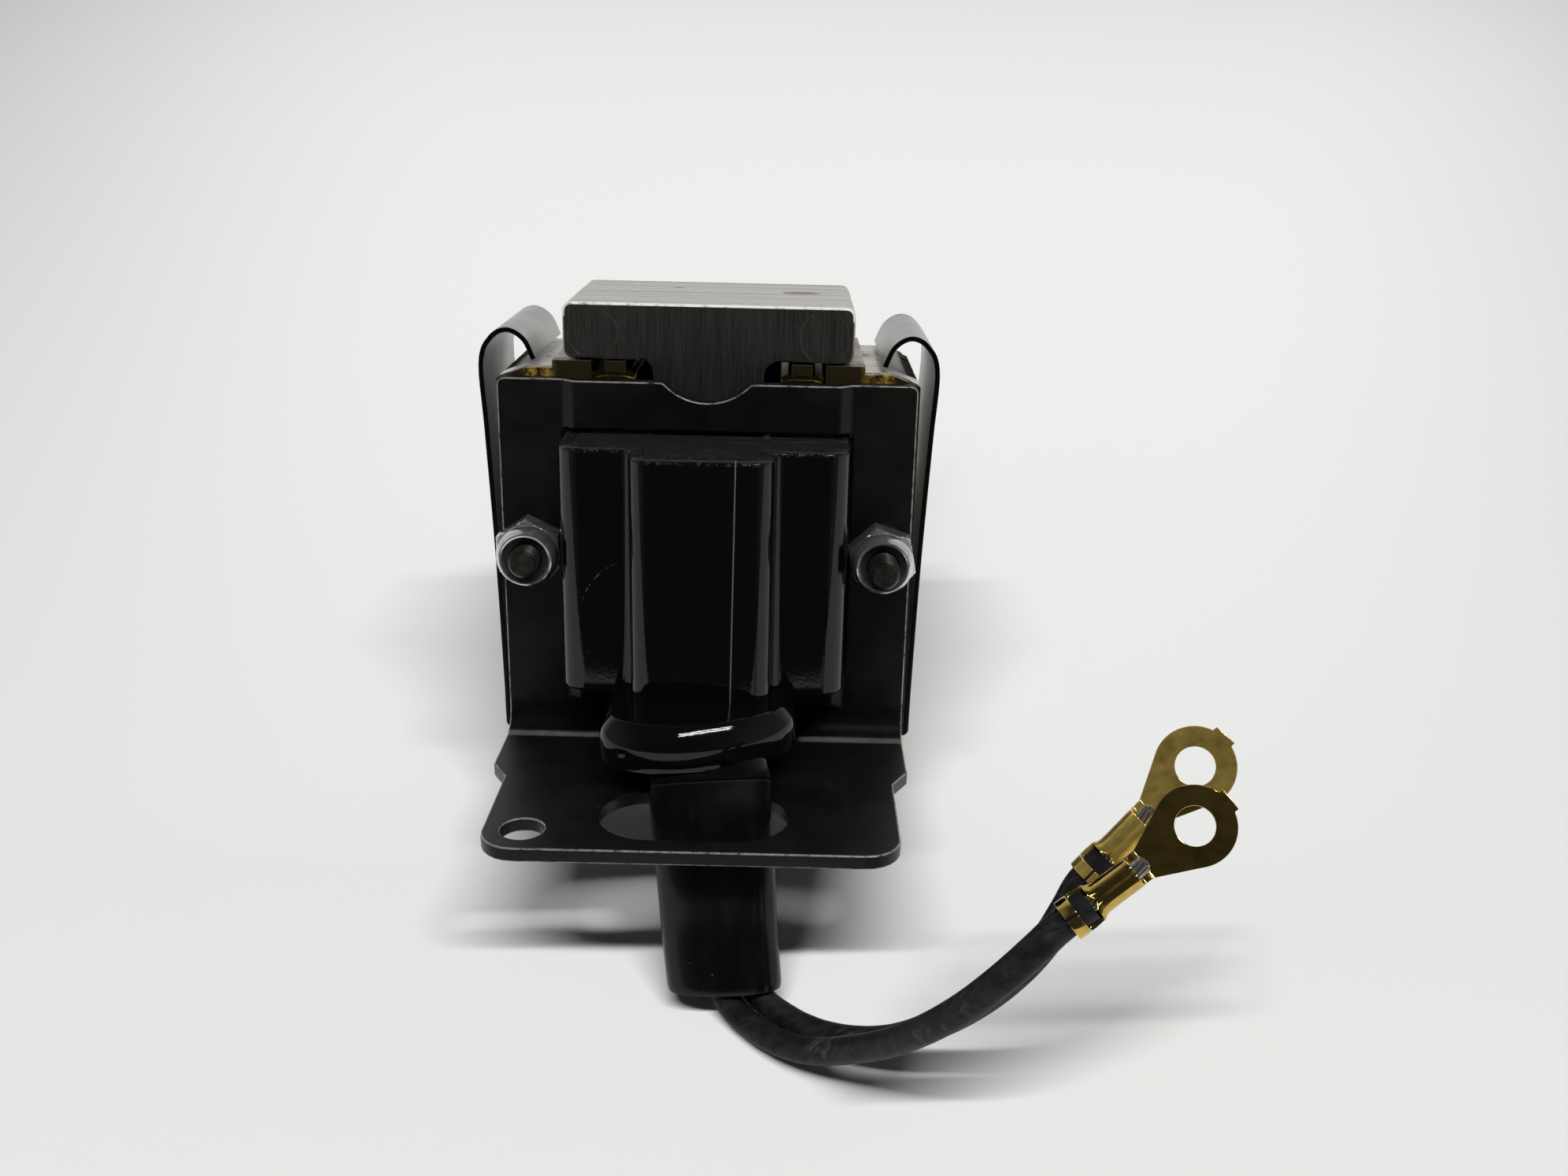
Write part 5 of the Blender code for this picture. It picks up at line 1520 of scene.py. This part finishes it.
@dataclass
class CoreStacks:
    """The frame's and the plunger's laminations, the rivets and the shading rings."""

    depth: float = 0.0250
    sheets: int = 40
    edge: float = 0.00006
    end_edge: float = 0.00042
    stray: float = 0.00003
    level: float = 0.00001
    rivet_radius: float = 0.00334
    rivet_end: float = 0.01243
    rivet_soft: float = 0.00003
    rivet_margin: float = 0.0002
    rivet_spread: float = 0.0154
    rivet_rise: float = 0.0580
    stem_rivet_rise: float = 0.0200
    shank_radius: float = 0.0016
    head_depth: float = 0.0010
    ring_rounding: float = 0.00025
    ring_droop: float = 0.0008

    def lamination(self, node: str, outermost: bool = False) -> Solid:
        """One sheet of a stack, cut from the front face of its CAD solid.

        Args:
            node: The stack's node.
            outermost: Whether it is the front one, which is rounded over by wear.

        Returns:
            The sheet, at the front of the stack.
        """
        bm = cad_copy(node)
        front = -self.depth / 2
        spare = [f for f in bm.faces if any(abs(v.co.y - front) > self.level for v in f.verts)]
        bmesh.ops.delete(bm, geom=spare, context="FACES")
        for item in bmesh.ops.extrude_face_region(bm, geom=list(bm.faces))["geom"]:
            if isinstance(item, bmesh.types.BMVert):
                item.co.y += self.depth / self.sheets
        bmesh.ops.recalc_face_normals(bm, faces=bm.faces)
        if not outermost:
            return soften(bm, self.edge, 2, SQUARE)
        holes = [Vector((side * self.rivet_spread, front, self.rivet_rise)) for side in (-1, 1)]
        holes.append(Vector((0.0, front, self.stem_rivet_rise)))

        def on_rim(edge: bmesh.types.BMEdge) -> bool:
            """Whether an edge is on the front face's outer rim."""
            clear = self.rivet_radius + self.rivet_margin
            return (all(abs(v.co.y - front) < self.level for v in edge.verts)
                    and all((edge.verts[0].co - hole).length > clear for hole in holes))

        return soften(bm, self.end_edge, 4, SQUARE, chosen=on_rim)

    def rivet(self) -> Solid:
        """One rivet with two flush heads, about the Y axis."""
        end, radius, soft = self.rivet_end, self.rivet_radius, self.rivet_soft
        neck = end - self.head_depth
        half = [(0.0, -end), (radius - soft, -end), (radius, -end + soft), (radius, -neck),
                (self.shank_radius, -neck)]
        return turned(half + [(r, -y) for r, y in reversed(half)])

    def shading_ring(self, node: str) -> Solid:
        """One shading ring, whose ends outside the stack droop to both sides.

        Args:
            node: The ring's node.

        Returns:
            The ring with rounded edges.
        """
        body = cad_copy(node)
        xs, zs = [v.co.x for v in body.verts], [v.co.z for v in body.verts]
        middle, half = (min(xs) + max(xs)) / 2, (max(xs) - min(xs)) / 2
        for vert in body.verts:
            if abs(vert.co.y) > self.depth / 2 and vert.co.z > (min(zs) + max(zs)) / 2:
                vert.co.z -= self.ring_droop * ((vert.co.x - middle) / half) ** 2
        return soften(body, self.ring_rounding)

    def make(self, brushed: Material, varnished: Material, copper: Material, pairs: NodeRig) -> None:
        """Make and register the stacks, the rivets and the shading rings.

        Args:
            brushed: The plunger's finish.
            varnished: The frame's finish.
            copper: The shading rings' finish.
            pairs: The tree that sets a fastener at two places.
        """
        rig, steel = stack_rig(), Slot.CORE_STEEL
        row = {"Pitch": self.depth / self.sheets, "Stray": self.stray}
        sheet = self.lamination("frame_stack")
        piece = rig.run("frame_stack_sheets", sheet, varnished, Sheets=self.sheets, Seed=4, **row)
        stand_for(settle(piece), Body.SOLENOID, steel, "frame_stack")
        inner = self.lamination("plunger_stack")
        inner.transform(Matrix.Translation((0, row["Pitch"], 0)))
        middle = rig.run("plunger_middle", inner, brushed, Sheets=self.sheets - 2, Seed=9, **row)
        stack = bmesh.new()
        absorb(stack, middle.data)
        for turn in (0.0, math.pi):
            end = self.lamination("plunger_stack", True)
            end.transform(Matrix.Rotation(turn, 4, "Z"))
            absorb(stack, plain_mesh("end_sheet", end))
        stand_for(build("plunger_stack_sheets", stack, brushed), Body.PLUNGER, steel, "plunger_stack")
        heads = pairs.run("plunger_rivet_pair", self.rivet(), brushed, Spread=self.rivet_spread,
                          Rise=self.rivet_rise)
        stand_for(settle(heads), Body.PLUNGER, steel, "plunger_rivet_left", "plunger_rivet_right")
        stem = self.rivet()
        stem.transform(Matrix.Translation((0, 0, self.stem_rivet_rise)))
        stand_for(build("plunger_rivet_low", stem, brushed), Body.PLUNGER, steel, "plunger_rivet_stem")
        for node in ("shading_ring_left", "shading_ring_right"):
            ring = build(f"{node}_copper", self.shading_ring(node), copper)
            stand_for(ring, Body.SOLENOID, Slot.COPPER, node)


@dataclass
class CoilMoulding:
    """The moulded coil cover with its centre block, shelf and oval neck, and the coil inside it."""

    half_x: float = 0.0191
    half_y: float = 0.0241
    low: float = 0.0114
    high: float = 0.0451
    corner: float = 0.0035
    edge: float = 0.0006
    block_half: float = 0.0092
    block_reach: float = 0.0058
    block_corner: float = 0.0028
    block_fillet: float = 0.0015
    shelf_half: float = 0.0127
    shelf_front: float = 0.0384
    shelf_nose: float = 0.0074
    shelf_root: float = 0.0185
    shelf_high: float = 0.0126
    shelf_arcs: tuple[tuple[float, float, float, int], ...] = ((0.0005, -90, -6.5, 4), (0.024, -6.5, 0, 4),
                                                               (0.0030, 0, 34, 8), (0.012, 34, 40, 6),
                                                               (0.0030, 40, 48, 3), (0.0007, 48, 90, 6))
    groove_insets: Flat = (0.00045, 0.00105)
    groove: Flat = (0.00022, 0.00012)
    shelf_skew: float = 0.19
    neck_length: float = 0.0042
    neck_shift: Point = (-0.0014, 0.0008, 0.0)
    neck_root: Flat = (0.0081, 0.0019)
    neck_end: Flat = (0.0078, 0.0027)
    neck_rings: int = 8
    neck_swell: float = 0.8
    neck_sink: float = 0.0002
    shoulder: tuple[Flat, ...] = ((0.00006, 0.0001), (0.0, 0.0003))
    spigot: Flat = (0.0062, 0.0016)
    spigot_end: float = 0.0007
    bore_half: Flat = (0.0094, 0.0144)
    cavity_half: Flat = (0.0177, 0.0227)
    hollow_corner: float = 0.0021
    floor: float = 0.0012
    bore_over: float = 0.002
    steps: int = 10

    def plan(self) -> list[Flat]:
        """Plan of the cover: a wide block with a narrower one standing out at the front."""
        front = -(self.half_y + self.block_reach)
        right = [(self.block_half, front, self.block_corner),
                 (self.block_half, -self.half_y, self.block_fillet),
                 (self.half_x, -self.half_y, self.corner), (self.half_x, self.half_y, self.corner)]
        return rounded(right + [(-x, y, r) for x, y, r in reversed(right)], self.steps)

    def shelf_plan(self) -> list[Flat]:
        """Plan of the shelf: straight sides and a half-elliptical nose, further out on the left."""
        start = self.shelf_nose - self.shelf_front
        nose = arc((0, 0), 1.0, 180, 360, 72)
        outline = [(self.shelf_half * c, start + self.shelf_nose * s) for c, s in nose]
        outline += [(self.shelf_half, -self.shelf_root), (-self.shelf_half, -self.shelf_root)]
        return [(x, y + self.shelf_skew * x) for x, y in outline]

    def neck(self, leads: LeadSet) -> Solid:
        """Oval neck with a rounded shoulder and the spigot inside the sleeve.

        Args:
            leads: The sleeve's sizes.

        Returns:
            The neck.
        """
        axis, outlet = leads.outlet_axis(), Vector(leads.outlet)
        root = outlet - axis * self.neck_length + Vector(self.neck_shift)
        end = outlet + Vector(leads.sleeve_steps[0])
        end.z = self.spigot_end
        rings = []
        for i in range(self.neck_rings + 1):
            share = i / self.neck_rings
            size = Vector(self.neck_root).lerp(Vector(self.neck_end), share ** self.neck_swell)
            middle = root.lerp(outlet, share) - axis * (self.neck_sink * share)
            slant = self.shelf_skew * (1 - share)
            rings.append([point + Vector((0, slant * (point.x - middle.x), 0))
                          for point in leads.oval(middle, axis, size)])
        rings += [leads.oval(outlet - axis * back, axis, self.neck_end, less) for back, less in self.shoulder]
        rings += [leads.oval(outlet, axis, self.spigot), leads.oval(end, Vector((0, 0, -1)), self.spigot)]
        return loft(rings)

    def hollow(self, half: Flat, low: float, high: float) -> Solid:
        """Cutter for a straight hollow, by half its width and depth and its two heights."""
        (x, y), radius = half, self.hollow_corner
        return prism(rounded([(u, v, radius) for u, v in ((x, -y), (x, y), (-x, y), (-x, -y))], 4), low, high)

    def make(self, leads: LeadSet, black: Material, nylon: Material, wire: Material) -> None:
        """Make and register the cover, and dress the bobbin and the winding.

        Args:
            leads: The sleeve's sizes, which the neck follows.
            black: The cover's finish.
            nylon: The bobbin's finish.
            wire: The winding's finish.
        """
        levels = arc_levels(self.low, ((self.edge, -90, 0, 5),))
        levels += arc_levels(self.high - self.edge, ((self.edge, 0, 90, 5),))
        width, depth = self.groove
        for place in self.groove_insets:
            start = self.edge + place
            levels += [(start, self.high), (start + 0.25 * width, self.high - depth),
                       (start + 0.75 * width, self.high - depth), (start + width, self.high)]
        block = levelled_prism(self.plan(), levels)
        levels = arc_levels(0.0, self.shelf_arcs)
        levels = [(inward, z + self.shelf_high - levels[-1][1]) for inward, z in levels]
        shelf = levelled_prism(self.shelf_plan(), levels)
        cavity = self.hollow(self.cavity_half, self.low + self.floor, self.high - self.floor)
        bore = self.hollow(self.bore_half, self.low - self.bore_over, self.high + self.bore_over)
        steps = [("UNION", shelf), ("UNION", self.neck(leads)), ("DIFFERENCE", cavity), ("DIFFERENCE", bore)]
        cover = build("coil_cover", combine(block, steps), black, 35.0)
        stand_for(cover, Body.SOLENOID, Slot.BLACK_MOULDING, "coil_jacket")
        for node, finish in (("coil_bobbin", nylon), ("coil_winding", wire)):
            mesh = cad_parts[node].data
            mesh.materials.clear()
            mesh.materials.append(finish)


@dataclass
class Fasteners:
    """Through screws, lock nuts and their nylon inserts."""

    spread: float = 0.02395
    rise: float = 0.0288
    nut_seat: float = 0.0150
    hex_height: float = 0.0034
    collar_height: float = 0.0024
    across_flats: float = 0.0085
    collar_root: float = 0.00415
    collar_rim: float = 0.0035
    lip: float = 0.0031
    insert_radius: float = 0.0030
    insert_top: float = 0.0007
    insert_height: float = 0.0009
    screw_radius: float = 0.00208
    pitch: float = 0.00079
    thread: float = 0.00036
    thread_slope: Flat = (1.6, 0.3)
    thread_point: Flat = (0.00050, 0.9)
    thread_turns: float = 8.5
    thread_rows: int = 102
    proud: Flat = (0.0020, 0.0035)
    nut_turns: Flat = (-4.0, -12.0)
    thread_starts: Flat = (0.4, -0.8)
    slot_turns: Flat = (0.5, -0.3)
    head_radius: float = 0.0040
    head_height: float = 0.0030
    head_round: float = 0.0013
    slot_width: float = 0.0011
    slot_depth: float = 0.0011
    slot_edge: float = 0.00012
    facets: int = 96

    @property
    def rim(self) -> float:
        """Depth of the collar's outer rim."""
        return self.nut_seat + self.hex_height + self.collar_height

    def nut(self) -> Solid:
        """One lock nut about the Y axis, with chamfered corners and a rolled collar."""
        seat, rim, root, lip = self.nut_seat, self.rim, self.collar_root, self.lip
        base, bore = seat + self.hex_height, self.screw_radius + 0.0003
        flat, corner = self.across_flats / 2, self.across_flats / math.sqrt(3)
        hexed = [(seat, flat * 0.97), (seat + 0.00035, corner), (base - 0.00085, corner),
                 (base - 0.00045, corner - 0.00030), (base - 0.00012, flat * 1.02), (base, flat * 0.985)]
        plain = [(base + 0.00003, root), (base + 0.0006, root), (base + 0.0012, root - 0.00007),
                 (base + 0.0017, root - 0.00024), (base + 0.0021, root - 0.00048),
                 (rim - 0.00008, self.collar_rim + 0.00008), (rim, self.collar_rim - 0.0001),
                 (rim - 0.00004, lip + 0.00008), (rim - 0.00022, lip), (rim - 0.0006, lip),
                 (rim - 0.0012, bore), (seat, bore)]
        rings = []
        for k, (depth, limit) in enumerate(hexed + plain):
            ring = []
            for i in range(self.facets):
                angle = 2 * math.pi * i / self.facets
                within = (angle + math.pi / 6) % (math.pi / 3) - math.pi / 6
                side = flat / math.cos(math.pi / 6 - abs(within)) if k < len(hexed) else limit
                radius = min(limit, side)
                ring.append((radius * math.sin(angle), -depth, radius * math.cos(angle)))
            rings.append(ring)
        return loft(rings, closed=True)

    def insert(self) -> Solid:
        """Nylon ring of one nut, about the Y axis."""
        top = self.rim - self.insert_top
        low = top - self.insert_height
        inner, outer = self.screw_radius + 0.0001, self.insert_radius
        return turned([(inner, -top + 0.0001), (inner + 0.0002, -top), (outer, -top), (outer, -low),
                       (inner, -low)], ring=True)

    def thread_end(self) -> Solid:
        """Threaded end of a screw about the Y axis, flush with the collar's rim."""
        (steep, flat), (blunt, taper) = self.thread_slope, self.thread_point
        rings = []
        for k in range(self.thread_rows + 1):
            run = k * self.thread_turns * self.pitch / self.thread_rows
            ring = []
            for i in range(ROUND_STEPS):
                angle = 2 * math.pi * i / ROUND_STEPS
                phase = (run / self.pitch + i / ROUND_STEPS) % 1.0
                ridge = min(1.0, max(0.0, steep * abs(2 * phase - 1) - flat))
                radius = self.screw_radius - self.thread * (1 - ridge)
                radius = min(radius, self.screw_radius - blunt + run * taper)
                ring.append((radius * math.sin(angle), -self.rim + run, radius * math.cos(angle)))
            rings.append(ring)
        return loft(rings)

    def head(self) -> Solid:
        """Slotted pan head of a screw about the Y axis, at the rear."""
        seat, top, curve = self.nut_seat, self.nut_seat + self.head_height, self.head_round
        profile = [(0.0, seat), (self.head_radius - 0.0001, seat), (self.head_radius, seat + 0.0001)]
        profile += arc((self.head_radius - curve, top - curve), curve, 0, 90, 10) + [(0.0, top)]
        half, reach = self.slot_width / 2, 2 * self.head_radius
        outline = [(-half, -reach), (half, -reach), (half, reach), (-half, reach)]
        slot = loft([[(x, y, z) for x, z in outline] for y in (top - self.slot_depth, top + self.slot_depth)])
        return soften(combine(turned(profile), [("DIFFERENCE", slot)]), self.slot_edge, 2, SQUARE)

    def make(self, pairs: NodeRig, zinc: Material, steel: Material, nylon: Material) -> None:
        """Make and register the screws, nuts and inserts.

        Args:
            pairs: The tree that sets a fastener at two places.
            zinc: The nuts' and heads' finish.
            steel: The threads' finish.
            nylon: The inserts' finish.
        """
        nut_turns = [math.radians(turn) for turn in self.nut_turns]
        still = (0.0, 0.0)
        rows = (("lock_nut_pair", self.nut(), zinc, nut_turns, still, 24.0, Slot.ZINC, "lock_nut"),
                ("nut_insert_pair", self.insert(), nylon, still, still, CREASE, Slot.INSERT_NYLON,
                 "nut_insert"),
                ("screw_end_pair", self.thread_end(), steel, self.thread_starts, self.proud, 40.0, Slot.ZINC,
                 "through_screw"),
                ("screw_head_pair", self.head(), zinc, self.slot_turns, still, CREASE, Slot.ZINC, None))
        for name, body, finish, turns, out, sharp, slot, node in rows:
            piece = pairs.run(name, body, finish, Spread=self.spread, Rise=self.rise, Left_turn=turns[0],
                              Right_turn=turns[1], Left_out=out[0], Right_out=out[1])
            nodes = [f"{node}_left", f"{node}_right"] if node else []
            stand_for(settle(piece, sharp), Body.SOLENOID, slot, *nodes)


@dataclass
class SpringStrap:
    """Thin strap under the frame whose two arms curl over the frame's shoulders."""

    sheet: float = 0.0007
    width: float = 0.0220
    bend: float = 0.0006
    side_gap: float = 0.0003
    frame_x: float = 0.0284
    shoulder: float = 0.0532
    frame_base: float = 0.0010
    from_shoulder: tuple[Flat, ...] = ((-0.0048, 0.0008), (-0.0035, 0.0035), (-0.0013, 0.0047),
                                       (0.0009, 0.0036), (0.0023, 0.0002), (0.0019, -0.0092),
                                       (0.0012, -0.0262))
    from_base: Flat = (0.00075, 0.0080)
    spacing: float = 0.0004
    rounding: float = 0.00012

    def make(self, finish: Material) -> None:
        """Make and register the strap.

        Args:
            finish: The spring steel.
        """
        half = self.sheet / 2
        side_x = self.frame_x + self.side_gap + half
        route = [(self.frame_x + dx, 0.0, self.shoulder + dz) for dx, dz in self.from_shoulder]
        route.append((self.frame_x + self.from_base[0], 0.0, self.frame_base + self.from_base[1]))
        arm = smooth_line(route + [(side_x, 0.0, half + self.bend)], self.spacing)
        corner = arc((side_x - self.bend, half + self.bend), self.bend, 0, -90, 8)
        line = [Vector((point.x, point.z)) for point in arm] + [Vector(point) for point in corner[1:]]
        line += [Vector((-point.x, point.y)) for point in reversed(line)]
        outer, inner = [], []
        for i, point in enumerate(line):
            before = (point - line[i - 1]).normalized() if i else (line[1] - line[0]).normalized()
            after = (line[i + 1] - point).normalized() if i + 1 < len(line) else before
            normal = (before.orthogonal() + after.orthogonal()).normalized()
            offset = normal * half / normal.dot(before.orthogonal())
            outer.append(point - offset)
            inner.append(point + offset)
        edges = (-self.width / 2, self.width / 2)
        front, back = [[[(p.x, y, p.y) for y in edges] for p in side] for side in (outer, inner)]
        body = soften(sheet_body(front, back), self.rounding, 2, SQUARE)
        stand_for(build("spring_strap_strip", body, finish), Body.SOLENOID, Slot.SPRING_STEEL, "spring_strap")


def main() -> None:
    """Build the studio and every piece, in order."""
    logging.basicConfig(level=logging.INFO, format="%(name)s: %(message)s")
    studio = Studio()
    set_up: Sequence[Callable[[], None]] = (studio.camera, studio.backdrop, studio.room, studio.lamps)
    for step in set_up:
        step()
    leads = LeadSet()
    cords = leads.make(LeadRubber().make(), GlossVinyl().make())
    # The rear terminal's brass is less metallic, so it renders lighter than the front one: a painted
    # reflection.
    RingTerminals().make(leads, cords, (RawBrass().make(), RawBrass(metal=0.72).make()), TINNED_STRAND.make())
    pairs = pair_rig()
    zinc = BRIGHT_ZINC.make()
    CoilMoulding().make(leads, CoilMouldingBlack().make(), NaturalNylon().make(), EnamelledWire().make())
    Brackets().make(BlackOxide().make())
    CoreStacks().make(CoreSteel().make(), CoreSteel(varnished=True).make(), DullCopper().make(), pairs)
    Fasteners().make(pairs, zinc, SCREW_STEEL.make(), INSERT_NYLON.make())
    SpringStrap().make(SatinSpring().make())


if __name__ == "__main__":
    main()
